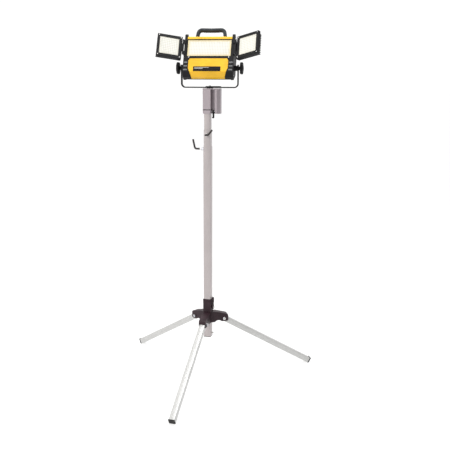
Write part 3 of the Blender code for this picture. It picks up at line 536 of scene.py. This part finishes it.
def bend(start, corner, end, radius, steps=8):
    """Points that turn the corner between two straight runs."""
    start, corner, end = Vector(start), Vector(corner), Vector(end)
    first = corner + (start - corner).normalized() * radius
    last = corner + (end - corner).normalized() * radius
    points = []
    for i in range(steps + 1):
        t = i / steps
        points.append(first * (1 - t) ** 2 + corner * (2 * t * (1 - t)) + last * t ** 2)
    return points


def square_tube(half, wall, corner, low, high):
    """A square tube with round corners and eased rims, along Z."""
    ease = 0.0003
    outer = rounded_rectangle(half, half, corner)
    rim_out = rounded_rectangle(half - ease, half - ease, corner - ease)
    inner = rounded_rectangle(half - wall, half - wall, corner * 0.5)
    rim_in = rounded_rectangle(half - wall + ease, half - wall + ease, corner * 0.5 + ease)
    levels = ((outer, low + ease), (outer, high - ease), (rim_out, high), (rim_in, high),
              (inner, high - ease), (inner, low + ease), (rim_in, low), (rim_out, low))
    rings = [[(x, y, z) for x, y in outline] for outline, z in levels]
    return mesh_of(*stack(rings, close=True), angle=25)


def pillow_lens(low, high, columns, rows, rise, margin, detail=4):
    """A cover plate facing -Y whose front is a grid of shallow pillow lenses."""
    chamfer_width, chamfer_depth = 0.0005, 0.0004

    def stops(start, end, count):
        """Grid lines across the cover: its chamfer, its flat margin and the lenses."""
        inner = [start + margin + (end - start - 2 * margin) * i / (count * detail)
                 for i in range(count * detail + 1)]
        return [start, start + chamfer_width, *inner, end - chamfer_width, end]

    def swell(i, count):
        """How far a lens stands out at a grid line, as a share of its rise."""
        k = i - 2
        if k <= 0 or k >= count * detail:
            return 0.0
        t = 2 * (k % detail) / detail - 1
        return 1 - t * t

    xs, zs = stops(low.x, high.x, columns), stops(low.z, high.z, rows)
    front, back = low.y, high.y
    points, faces = [], []
    for j, z in enumerate(zs):
        for i, x in enumerate(xs):
            edge = i in (0, len(xs) - 1) or j in (0, len(zs) - 1)
            y = front + chamfer_depth if edge else front - rise * swell(i, columns) * swell(j, rows)
            points.append((x, y, z))
    wide = len(xs)
    for j in range(len(zs) - 1):
        for i in range(wide - 1):
            corner = j * wide + i
            faces.append((corner, corner + 1, corner + wide + 1, corner + wide))
    border = [*range(wide), *[j * wide + wide - 1 for j in range(1, len(zs))],
              *[(len(zs) - 1) * wide + i for i in reversed(range(wide - 1))],
              *[j * wide for j in reversed(range(1, len(zs) - 1))]]
    first_back = len(points)
    for index in border:
        x, _, z = points[index]
        points.append((x, back, z))
    for k, index in enumerate(border):
        nxt = (k + 1) % len(border)
        faces.append((index, border[nxt], first_back + nxt, first_back + k))
    faces.append(tuple(first_back + k for k in range(len(border))))
    return mesh_of(points, faces, angle=40)


def frame_rim(low, high, width, front, back, radius=0.0006):
    """Four soft bars round an opening, facing -Y, overlapping at their corners."""
    bars = (((low.x, low.z), (high.x, low.z + width)), ((low.x, high.z - width), (high.x, high.z)),
            ((low.x, low.z), (low.x + width, high.z)), ((high.x - width, low.z), (high.x, high.z)))
    return join(*[soft_block((a[0], front, a[1]), (b[0], back, b[1]), radius, 2) for a, b in bars])


def cross_screw(radius, height):
    """A pan-head screw along Z with a cross recess in its top."""
    slot = 0.16

    def cross(angle, _):
        """Radius share of a cross whose arms are a slot wide."""
        quarter = angle % (math.pi / 2)
        quarter = min(quarter, math.pi / 2 - quarter)
        return min(1.0, slot / max(math.sin(quarter), 0.001))

    head = ((0, 0.98), (0.45, 1), (0.8, 0.86), (1, 0.62))
    recess = ((1, 0.56), (0.45, 0.4))
    rings = [circle_ring(radius * share, height * level, 32) for level, share in head]
    rings += [circle_ring(radius * share, height * level, 32, cross) for level, share in recess]
    return mesh_of(*stack(rings), angle=30)


def seat(name, place, start, aim):
    """A local frame where a ray meets a CAD node, with Z along the surface's normal."""
    turn = place.to_3x3()
    way = (turn @ Vector(aim)).normalized()
    met, spot, normal, _ = frame["nodes"][name].ray_cast(place @ Vector(start), way)
    if not met:
        raise ValueError("no surface of " + name + " there")
    facing = (turn.inverted() @ normal).to_track_quat("Z", "Y").to_matrix().to_4x4()
    return Matrix.Translation(place.inverted() @ spot) @ facing


def add_piece(name, mesh, place, body, slot, *stands_for, look=None):
    """Link a finished mesh as a piece that rides on a body and may stand for CAD nodes."""
    piece = bpy.data.objects.new(name, mesh)
    PIECES.objects.link(piece)
    piece.matrix_world = place
    mesh.materials.append(look or LOOKS[slot])
    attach(piece, body)
    if stands_for:
        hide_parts(*stands_for)
    return piece


def soften(name, width, segments=2, angle=25):
    """Round a CAD node's edges a little."""
    node = frame["nodes"][name]
    node.data.shade_smooth()
    weld = node.modifiers.new("weld", "WELD")
    weld.merge_threshold = 0.000005
    flat = node.modifiers.new("flat faces", "DECIMATE")
    flat.decimate_type = "DISSOLVE"
    flat.angle_limit = math.radians(0.4)
    bevel = node.modifiers.new("soft edges", "BEVEL")
    bevel.width = width
    bevel.segments = segments
    bevel.limit_method = "ANGLE"
    bevel.angle_limit = math.radians(angle)
    bevel.miter_outer = "MITER_ARC"
    normals = node.modifiers.new("weighted normals", "WEIGHTED_NORMAL")
    normals.keep_sharp = True
    normals.weight = 80
    return node


# ---------------------------------------------------------------------------
# CAD nodes that stay
# ---------------------------------------------------------------------------
# How far each node's edges are rounded
EDGE_WIDTHS = {
    "hub_casting": 0.0012, "hub_lever": 0.0009, "adapter_body": 0.0008, "adapter_plate": 0.0008,
    "cable_hook": 0.0007, "yoke_clamp_plate": 0.0007, "yoke_bolt": 0.0004, "yoke_washer": 0.0003,
    "rear_housing": 0.0010, "front_shell": 0.0022, "top_cover": 0.0009, "panel_bezel": 0.0007,
    "end_cap_left": 0.0013, "end_cap_right": 0.0013, "label_plate": 0.0003,
    "wing_bezel_left": 0.0006, "wing_bezel_right": 0.0006, "wing_housing_left": 0.0009,
    "wing_housing_right": 0.0009, "foot_front": 0.0012, "foot_right": 0.0012, "foot_left": 0.0012,
    "power_button": 0.0006, "cable_gland": 0.0005, "mast_base_plug": 0.0006, "mast_stop_screw": 0.0004,
    "hub_clamp_bolt": 0.0005, "base_clamp_boss": 0.0006, "middle_clamp_boss": 0.0006,
}


def dress_nodes():
    """Give each CAD node its look. The lenses are replaced, so any look serves them."""
    for name, node in frame["nodes"].items():
        slot = SLOT_OF[name]
        node.data.materials.clear()
        node.data.materials.append(LOOKS.get(slot, LOOKS["led_board"]))
        if name in EDGE_WIDTHS:
            soften(name, EDGE_WIDTHS[name])
    for name in ("adapter_body", "adapter_plate"):
        frame["nodes"][name].data.materials[0] = ADAPTER_LOOK


# ---------------------------------------------------------------------------
# Mast and tripod
# ---------------------------------------------------------------------------
def build_tubes():
    """The mast's and the legs' tubes, hollow, with round corners."""
    mast_wall, leg_wall = 0.0014, 0.0018
    for level, corner in (("base", 0.0022), ("middle", 0.0020), ("top", 0.0018)):
        node = f"mast_{level}_tube"
        low, high = local_box(node, MAST)
        mesh = square_tube(high.x, mast_wall, corner, low.z, high.z)
        add_piece(f"{level}_tube_skin", mesh, MAST, "mast_" + level, "aluminium_tube", node)
    for side in LEGS:
        place = leg_frame(side)
        node = "leg_tube_" + side
        low, high = local_box(node, place)
        mesh = square_tube(high.y, leg_wall, 0.0026, low.z, high.z)
        add_piece("leg_skin_" + side, mesh, place, "leg_" + side, "aluminium_tube", node, look=LEG_LOOK)


def add_clamp_screw(body, rod_path, grip_path, across):
    """A bent rod with a dark vinyl sleeve over its outer part."""
    rod = sweep(rod_path, circle(0.0035), across, 0.0012)
    add_piece(body + "_screw", rod, MAST, body, "zinc_steel", body + "_handle")
    grip = sweep(grip_path, circle(0.0048), across, 0.0015)
    add_piece(body + "_grip", grip, MAST, body, "charcoal_grip", look=CLAMP_LOOK)


def build_clamp_screws():
    """The base tube's L-shaped clamp screw, and the middle tube's, which bends twice.

    Their corners are measured from the mast's axis and from the screw's height.
    """
    level = JOINTS["base_clamp_turn"]["pos_m"][2]
    start = Vector((local_box("base_clamp_handle", MAST)[1].x, 0, level))
    corner = Vector((-0.069, 0, level))
    end = Vector((-0.080, 0, level + 0.048))
    elbow = bend(start, corner, end, 0.009)
    sleeve_start = corner + Vector((0.026, 0, 0))
    sleeve_end = end + Vector((0, 0, 0.0004))
    add_clamp_screw("base_clamp", [start, *elbow, end], [sleeve_start, *elbow, sleeve_end], (0, 1, 0))

    level = JOINTS["middle_clamp_turn"]["pos_m"][2]
    start = Vector((0, local_box("middle_clamp_handle", MAST)[1].y, level))
    corner = Vector((0, -0.048, level))
    knee = Vector((0.013, -0.050, level + 0.001))
    lift = Vector((0.018, -0.050, level + 0.003))
    end = Vector((0.038, -0.050, level + 0.027))
    outer_run = [*bend(start, corner, knee, 0.007), *bend(knee, lift, end, 0.004, 5), end]
    sleeve_start = corner + Vector((0, 0.012, 0))
    add_clamp_screw("middle_clamp", [start, *outer_run], [sleeve_start, *outer_run], (1, 0, 0))


def square_band(half, depth, height, thick):
    """A closed band round the mast axis, standing a little proud of a square section."""
    outer = rounded_rectangle(half + depth, half + depth, 0.0022)
    inner = rounded_rectangle(half - depth, half - depth, 0.0012)
    levels = ((outer, height - thick * 0.6), (outer, height + thick * 0.6), (inner, height + thick),
              (inner, height - thick))
    return mesh_of(*stack([[(x, y, z) for x, y in outline] for outline, z in levels], close=True), angle=25)


def build_adapter_seam():
    """The dark gasket in the adapter's seam."""
    half = -local_box("adapter_body", MAST)[0].x
    gasket = square_band(half, 0.0004, ADAPTER_SEAM_Z, 0.0027)
    add_piece("adapter_gasket", gasket, MAST, "mast_top", "rubber")


def hexagon(angle, _):
    """Radius share of a hexagon: 1 at its corners, 0.866 at the middle of its flats."""
    return 0.866 / math.cos((angle % (math.pi / 3)) - math.pi / 6)


def build_hub_details():
    """Raised bands round the hub's sleeve, and the pivot screws with their nuts."""
    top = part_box("hub_casting")[1].z
    bands = [square_band(HUB_SLEEVE_HALF, 0.0007, height, 0.0019) for height in (top - 0.004, top - 0.012)]
    add_piece("hub_sleeve_ribs", join(*bands), MAST, "tripod_hub", "hub_black")
    for side in LEGS:
        joint = JOINTS["leg_fold_" + side]
        place = frame_at(joint["pos_m"], UP, joint["axis"])
        low, high = local_box("pivot_bolt_" + side, place)
        head = turned([(low.z + 0.0040, 0.0076), (low.z + 0.0026, 0.0078), (low.z + 0.0010, 0.0066),
                       (low.z + 0.0002, 0.0042), (low.z + 0.0002, 0.0026), (low.z + 0.0018, 0.0024)], 36)
        shank = turned([(low.z + 0.003, 0.0039), (high.z - 0.0006, 0.0039), (high.z, 0.0034)], 20)
        add_piece("pivot_screw_" + side, join(head, shank), place, "tripod_hub", "zinc_steel",
                  "pivot_bolt_" + side)
        low, high = local_box("pivot_nut_" + side, place)
        nut = turned([(low.z, 0.0070), (low.z + 0.0006, 0.0082), (high.z - 0.0006, 0.0082),
                      (high.z, 0.0070)], 36, hexagon)
        add_piece("pivot_hex_nut_" + side, nut, place, "tripod_hub", "zinc_steel", "pivot_nut_" + side)


# ---------------------------------------------------------------------------
# Yoke
# ---------------------------------------------------------------------------
def build_yoke():
    """The U-shaped strap, bent from flat bar, and the pressed rings round its pivots."""
    low, high = local_box("yoke", YOKE)
    half = YOKE_STRAP / 2
    arm_x, base_z = high.x - half, low.z + half
    turn = YOKE_BEND - half
    steps = 12
    right = [Vector((arm_x, 0, height)) for height in (high.z - 0.0005, 0, -0.05)]
    for i in range(steps + 1):
        angle = math.radians(90 * i / steps)
        right.append(Vector((arm_x - turn * (1 - math.cos(angle)), 0,
                             base_z + turn * (1 - math.sin(angle)))))
    left = [Vector((-point.x, 0, point.z)) for point in reversed(right)]
    section = rounded_rectangle(half, high.y, 0.0011, 3)
    strap = sweep([*right, Vector((0, 0, base_z)), *left], section, (1, 0, 0), 0.0011, 2)
    add_piece("yoke_strap", strap, YOKE, "yoke", "painted_steel", "yoke")
    profile = ((-0.0004, 0.0095), (0.0004, 0.0095), (0.0006, 0.0088), (0.0006, 0.0052), (-0.0004, 0.0050))
    eyes = []
    for sign in (1, -1):
        for face in (high.x + 0.0001, high.x - YOKE_STRAP - 0.0001):
            spot = Matrix.Translation((sign * face, 0, 0)) @ FACE_RIGHT
            eyes.append(moved(turned(profile, 28), spot))
    add_piece("yoke_pressed_rings", join(*eyes), YOKE, "yoke", "painted_steel")


# ---------------------------------------------------------------------------
# Light head
# ---------------------------------------------------------------------------
def build_lens(name, node, place, body, cells, rise, look_name, glow, border_tone):
    """A lit panel's frosted cover. Returns its own frame and its half size."""
    low, high = local_box(node, place)
    half = (high - low) / 2
    middle = place @ Matrix.Translation((low + high) / 2)
    cover = pillow_lens(-half, half, *cells, rise, LENS_MARGIN)
    width, height = 2 * (half.x - LENS_MARGIN), 2 * (half.z - LENS_MARGIN)
    look = lit_diffuser(look_name, width, height, *cells, glow, border_tone)
    add_piece(name, cover, middle, body, "lens", node, look=look)
    return middle, half


def build_main_lens():
    """The main panel's cover in its warm reflector rim."""
    middle, half = build_lens("panel_diffuser", "panel_lens", HEAD, "head", (26, 10), 0.0009,
                              "main_diffuser", 0.18, (0.52, 0.43, 0.22))
    rim = frame_rim(-half, half, 0.0022, -half.y - 0.0014, -half.y + 0.0006)
    add_piece("panel_reflector_rim", rim, middle, "head", "lens", look=REFLECTOR_LOOK)


def build_handle():
    """A soft grip carried between two feet, with finger ribs under it."""
    low, high = local_box("carry_handle", HEAD)
    depth = (high.y - low.y) / 2
    middle_y = (high.y + low.y) / 2
    foot_x = high.x - 0.0095
    top = high.z - 0.0093
    foot = Vector((foot_x, middle_y, low.z + 0.0002))
    lift = Vector((foot_x - 0.0040, middle_y, low.z + 0.022))
    shoulder = Vector((foot_x - 0.0085, middle_y, top + 0.0020))
    crown = Vector((0, middle_y, top))
    right = [foot, lift, *bend(lift, shoulder, crown, 0.0200, 10)]
    steps = 8
    right += [right[-1].lerp(crown, i / steps) for i in range(1, steps)]
    left = [Vector((-point.x, point.y, point.z)) for point in reversed(right)]
    section = rounded_rectangle(0.0088, depth - 0.0003, 0.0062, 5)
    grip = sweep([*right, crown, *left], section, (1, 0, 0))
    add_piece("handle_grip", moved(grip, HEAD), Matrix(), "head", "charcoal_grip", "carry_handle")

    pitch, rib_half, inset = 0.0046, 0.0012, 0.0035
    ribs = []
    for x in (pitch * i for i in range(-8, 9)):
        ribs.append(soft_block((x - rib_half, middle_y - depth + inset, top - 0.0094),
                               (x + rib_half, middle_y + depth - inset, top - 0.0080), 0.0005, 2))
    add_piece("handle_finger_ribs", join(*ribs, angle=50), HEAD, "head", "rubber")
    foot_half, lip = 0.0108, 0.0008
    feet = []
    for x in (foot_x, -foot_x):
        feet.append(soft_block((x - foot_half, middle_y - depth - lip, low.z - 0.0002),
                               (x + foot_half, middle_y + depth + lip, low.z + 0.0042), 0.0014))
    add_piece("handle_feet", join(*feet, angle=50), HEAD, "head", "charcoal_grip")


def build_cheek_ribs(side, sign):
    """Grip ribs in the grooves of an end cap's front. Their lighter grey is a painted highlight on black
    plastic ribs.
    """
    cheek_in = local_box("front_shell", HEAD)[1].x + 0.0035
    cheek_out = local_box("rear_housing", HEAD)[1].x + 0.0100
    face = local_box("label_plate", HEAD)[0].y + 0.0004
    ribs = []
    for height in CHEEK_GROOVES:
        ribs.append(soft_block((sign * cheek_in, face + 0.0020, height - 0.0032),
                               (sign * cheek_out, face - 0.0009, height + 0.0032), 0.0010))
    # The ribs' lighter grey is a painted highlight
    add_piece("cheek_ribs_" + side, join(*ribs, angle=50), HEAD, "head", "black_plastic", look=RIB_HIGHLIGHT_LOOK)


def build_label_print():
    """Plain bars on the blank label, with no lettering."""
    low, high = local_box("label_plate", HEAD)
    face = low.y - 0.00015
    width, height = high.x - low.x, high.z - low.z
    bars = []
    start = low.x + 0.05 * width
    for share, top in ((0.52, 0.80), (0.30, 0.58)):
        bars.append(soft_block((start, face, low.z + height * (top - 0.09)),
                               (start + width * share, face + 0.0004, low.z + height * top), 0.0001, 1))
    add_piece("label_bars", join(*bars), HEAD, "head", "label", look=PRINT_LOOK)


def build_head_screws():
    """Small cross-head screws at the main bezel's lower edge, the back and the cheeks."""
    front = local_box("panel_bezel", HEAD)[0]
    margin_z = (front.z + local_box("panel_lens", HEAD)[0].z) / 2
    screws = []
    for x in (-BEZEL_SCREW_X, BEZEL_SCREW_X):
        spot = Matrix.Translation((x, front.y, margin_z)) @ FACE_FRONT
        screws.append(moved(cross_screw(0.0028, 0.0010), spot))
    for x in (-REAR_SCREW_X, REAR_SCREW_X):
        spot = seat("rear_housing", HEAD, (x, BEHIND, REAR_SLOPE_Z), (0, -1, 0))
        screws.append(moved(cross_screw(0.0034, 0.0014), spot))
    for side, sign in SIDES.items():
        for y, z in CHEEK_SCREWS:
            spot = seat("end_cap_" + side, HEAD, (sign * BESIDE, y, z), (-sign, 0, 0))
            screws.append(moved(cross_screw(0.0036, 0.0013), spot))
    add_piece("head_screws", join(*screws), HEAD, "head", "zinc_steel")


def build_side_louvres(side, sign):
    """Raised louvres on an end cap's side, sloping like drip edges."""
    tilt = Matrix.Rotation(math.radians(6 * sign), 4, "Y")
    louvres = []
    for i in range(LOUVRES):
        start = (sign * BESIDE, LOUVRE_Y, LOUVRE_START_Z + LOUVRE_PITCH * i)
        spot = seat("end_cap_" + side, HEAD, start, (-sign, 0, 0)).to_translation()
        bar = soft_block((-0.0012, -0.032, -0.0024), (0.0014, 0.032, 0.0024), 0.0009)
        louvres.append(moved(bar, Matrix.Translation(spot) @ tilt))
    add_piece("side_louvres_" + side, join(*louvres, angle=50), HEAD, "head", "black_plastic")


def build_rating_plate():
    """A blank plate held by two rivets on the back's slope."""
    surface = seat("rear_housing", HEAD, (0, BEHIND, REAR_SLOPE_Z), (0, -1, 0))
    level = frame_at(surface.to_translation(), (1, 0, 0), surface.to_3x3() @ UP)
    plate = soft_block((-0.032, -0.0068, -0.0004), (0.032, 0.0068, 0.0007), 0.0003, 2)
    rivet = ((0.0004, 0.0014), (0.0010, 0.0013), (0.0013, 0.0007))
    rivets = [moved(turned(rivet, 16), Matrix.Translation((x, 0, 0))) for x in (-0.029, 0.029)]
    add_piece("rating_plate", moved(join(plate, *rivets), level), HEAD, "head", "label", look=PLATE_LOOK)


def build_button_ring():
    """A raised ring round the power button."""
    low, high = local_box("power_button", HEAD)
    middle = (low + high) / 2
    radius = (high.x - low.x) / 2
    start = (middle.x, BEHIND, middle.z + radius + 0.0012)
    face = seat("rear_housing", HEAD, start, (0, -1, 0)).to_translation().y
    profile = ((-0.0006, 0.0024), (0.0008, 0.0020), (0.0014, 0.0012), (0.0014, 0.0003),
               (0.0010, 0.0001), (-0.0006, 0.0001))
    rings = [circle_ring(radius + reach, height, 40) for height, reach in profile]
    ring = mesh_of(*stack(rings, close=True), angle=40)
    place = Matrix.Translation((middle.x, face, middle.z)) @ FACE_BACK
    add_piece("button_ring", moved(ring, place), HEAD, "head", "black_plastic", look=RIB_HIGHLIGHT_LOOK)


def build_knob(side, sign):
    """A lobed clamp knob with a steel stud and a centre cap."""
    low, high = local_box("tilt_knob_" + side, HEAD)
    inner, outer = sorted((abs(low.x), abs(high.x)))
    radius = high.z
    face = outer - 0.0025
    back = face - 0.015
    boss = back - 0.0068
    lobes = 8

    def scallop(angle, level):
        """Radius share of the lobed rim. The boss behind it is round."""
        depth = 0.0 if level < back - 0.0005 else 0.085
        wave = 0.5 + 0.5 * math.cos(lobes * angle)
        return 1 - depth * (1 - wave ** 0.6)

    grip = [(boss, 0.0086), (boss + 0.0004, 0.0090), (back - 0.0010, 0.0094), (back, 0.0115),
            (back, radius - 0.0060), (back + 0.0008, radius - 0.0024), (back + 0.0026, radius - 0.0004),
            (back + 0.0048, radius), (face - 0.0048, radius), (face - 0.0024, radius - 0.0006),
            (face - 0.0007, radius - 0.0026), (face, radius - 0.0062), (face - 0.0002, 0.0170),
            (face - 0.0024, 0.0150), (face - 0.0026, 0.0128)]
    place = HEAD @ (FACE_RIGHT if sign > 0 else FACE_LEFT)
    add_piece("knob_grip_" + side, turned(grip, 128, scallop), place, "knob_" + side, "black_plastic",
              "tilt_knob_" + side)
    cap = [(face - 0.0030, 0.0122), (face + 0.0012, 0.0122), (face + 0.0021, 0.0112),
           (face + 0.0024, 0.0090), (face + 0.0024, 0.0030)]
    add_piece("knob_cap_" + side, turned(cap, 40), place, "knob_" + side, "charcoal_grip")
    crest, root, pitch = 0.0039, 0.0035, 0.0012
    stud = [(inner, 0.0034), (inner + 0.0006, crest)]
    level = inner + 0.0010
    while level < boss - 0.002:
        stud += [(level, crest), (level + pitch * 0.5, root)]
        level += pitch
    stud.append((boss + 0.002, crest))
    add_piece("knob_stud_" + side, turned(stud, 24), place, "knob_" + side, "zinc_steel")


# ---------------------------------------------------------------------------
# Wings
# ---------------------------------------------------------------------------
def build_wing(side):
    """A wing's lit cover, its reflector rim and the four screws of its bezel."""
    wing = wing_frame(side)
    body = "wing_" + side
    middle, half = build_lens("wing_diffuser_" + side, "wing_lens_" + side, wing, body, (10, 9), 0.0008,
                              "wing_diffuser_look_" + side, 0.17, (0.50, 0.49, 0.43))
    rim = frame_rim(-half, half, 0.0018, -half.y - 0.0008, -half.y + 0.0005, 0.0004)
    add_piece("wing_reflector_rim_" + side, rim, middle, body, "lens", look=WING_RIM_LOOK)

    low, high = local_box("wing_bezel_" + side, wing)
    inset = 0.0075
    screws = []
    for x in (low.x + inset, high.x - inset):
        for z in (low.z + inset, high.z - inset):
            spot = Matrix.Translation((x, low.y + 0.0001, z)) @ FACE_FRONT
            screws.append(moved(cross_screw(0.0028, 0.0010), spot))
    add_piece("wing_screws_" + side, join(*screws), wing, body, "zinc_steel")


def build_head():
    """Everything that the yoke carries."""
    build_main_lens()
    build_handle()
    build_label_print()
    build_head_screws()
    build_rating_plate()
    build_button_ring()
    for side, sign in SIDES.items():
        build_cheek_ribs(side, sign)
        build_side_louvres(side, sign)
        build_knob(side, sign)
        build_wing(side)


# ---------------------------------------------------------------------------
# Studio
# ---------------------------------------------------------------------------
def build_world():
    """A white backdrop, which lights the object less from in front and from the right."""
    world = bpy.data.worlds.new("studio")
    bpy.context.scene.world = world
    world.use_nodes = True
    nodes, links = world.node_tree.nodes, world.node_tree.links
    where = nodes.new("ShaderNodeTexCoord")
    parts = nodes.new("ShaderNodeSeparateXYZ")
    links.new(where.outputs["Generated"], parts.inputs[0])

    def slope(axis, start, end, low, high):
        """A level that goes from low to high as a direction's part along an axis goes up."""
        node = nodes.new("ShaderNodeMapRange")
        node.interpolation_type = "SMOOTHSTEP"
        links.new(parts.outputs[axis], node.inputs["Value"])
        for name, value in (("From Min", start), ("From Max", end), ("To Min", low), ("To Max", high)):
            node.inputs[name].default_value = value
        return node.outputs[0]

    def combine(operation, first, second):
        """Two levels put together."""
        node = nodes.new("ShaderNodeMath")
        node.operation = operation
        links.new(first, node.inputs[0])
        links.new(second, node.inputs[1])
        return node.outputs[0]

    level = combine("MULTIPLY", slope("Y", -0.4, 0.5, 0.28, 1.06), slope("X", 0.08, 0.45, 1.0, 0.6))
    level = combine("ADD", level, slope("Z", 0.1, 1.0, 0.0, 0.30))
    rays = nodes.new("ShaderNodeLightPath")
    backdrop = combine("MAXIMUM", level, rays.outputs["Is Camera Ray"])
    links.new(backdrop, nodes["Background"].inputs["Strength"])
    nodes["Background"].inputs["Color"].default_value = (1.0, 0.995, 0.99, 1)


def build_floor():
    """A wide pale floor, lit a little from within so that it blends with the backdrop."""
    shape = bmesh.new()
    bmesh.ops.create_circle(shape, cap_ends=True, segments=96, radius=90)
    mesh = bpy.data.meshes.new("floor")
    shape.to_mesh(mesh)
    shape.free()
    floor = bpy.data.objects.new("studio_floor", mesh)
    bpy.context.scene.collection.objects.link(floor)
    floor.location.z = cad_box[0].z - 0.0002
    look = Look("floor", 0.85)
    tone = look.ramp(look.noise(0.8), (0.3, (0.30, 0.30, 0.30)), (0.7, (0.32, 0.32, 0.32)))
    look.set("Base Color", tone)
    look.set("Emission Color", (1, 1, 1, 1))
    look.set("Emission Strength", 0.72)
    mesh.materials.append(look.material)


def add_light(name, spot, target, size, energy, colour=(1, 1, 1)):
    """A square soft light aimed at a point."""
    data = bpy.data.lights.new(name, "AREA")
    data.size = size
    data.energy = energy
    data.color = colour
    lamp = bpy.data.objects.new(name, data)
    bpy.context.scene.collection.objects.link(lamp)
    lamp.location = spot
    lamp.rotation_euler = (Vector(target) - Vector(spot)).to_track_quat("-Z", "Y").to_euler()


def build_camera():
    """Eye at standing height, a little to the light's right, looking 12.5 degrees down."""
    data = bpy.data.cameras.new("camera")
    data.sensor_width = 36
    data.lens = 53.44
    camera = bpy.data.objects.new("camera", data)
    bpy.context.scene.collection.objects.link(camera)
    yaw, tilt, roll = math.radians(15.3), math.radians(12.5), math.radians(0.24)
    eye = Matrix.Translation((0.9953, MAST_Y - 3.2972, 1.6))
    heading = Matrix.Rotation(yaw, 4, "Z") @ Matrix.Rotation(math.radians(90) - tilt, 4, "X")
    camera.matrix_world = eye @ heading @ Matrix.Rotation(roll, 4, "Z")
    bpy.context.scene.camera = camera


dress_nodes()
bpy.context.view_layer.update()
build_tubes()
build_clamp_screws()
build_hub_details()
build_adapter_seam()
build_yoke()
build_head()
build_world()
build_floor()
build_camera()
add_light("key", (-2.4, -3.0, 3.0), (0, MAST_Y, 1.2), 2.2, 125, (1.0, 0.985, 0.96))
add_light("top", (0.4, 0.2, 4.2), (0, MAST_Y, 0.8), 2.4, 90)
bpy.context.scene.view_settings.view_transform = "Standard"
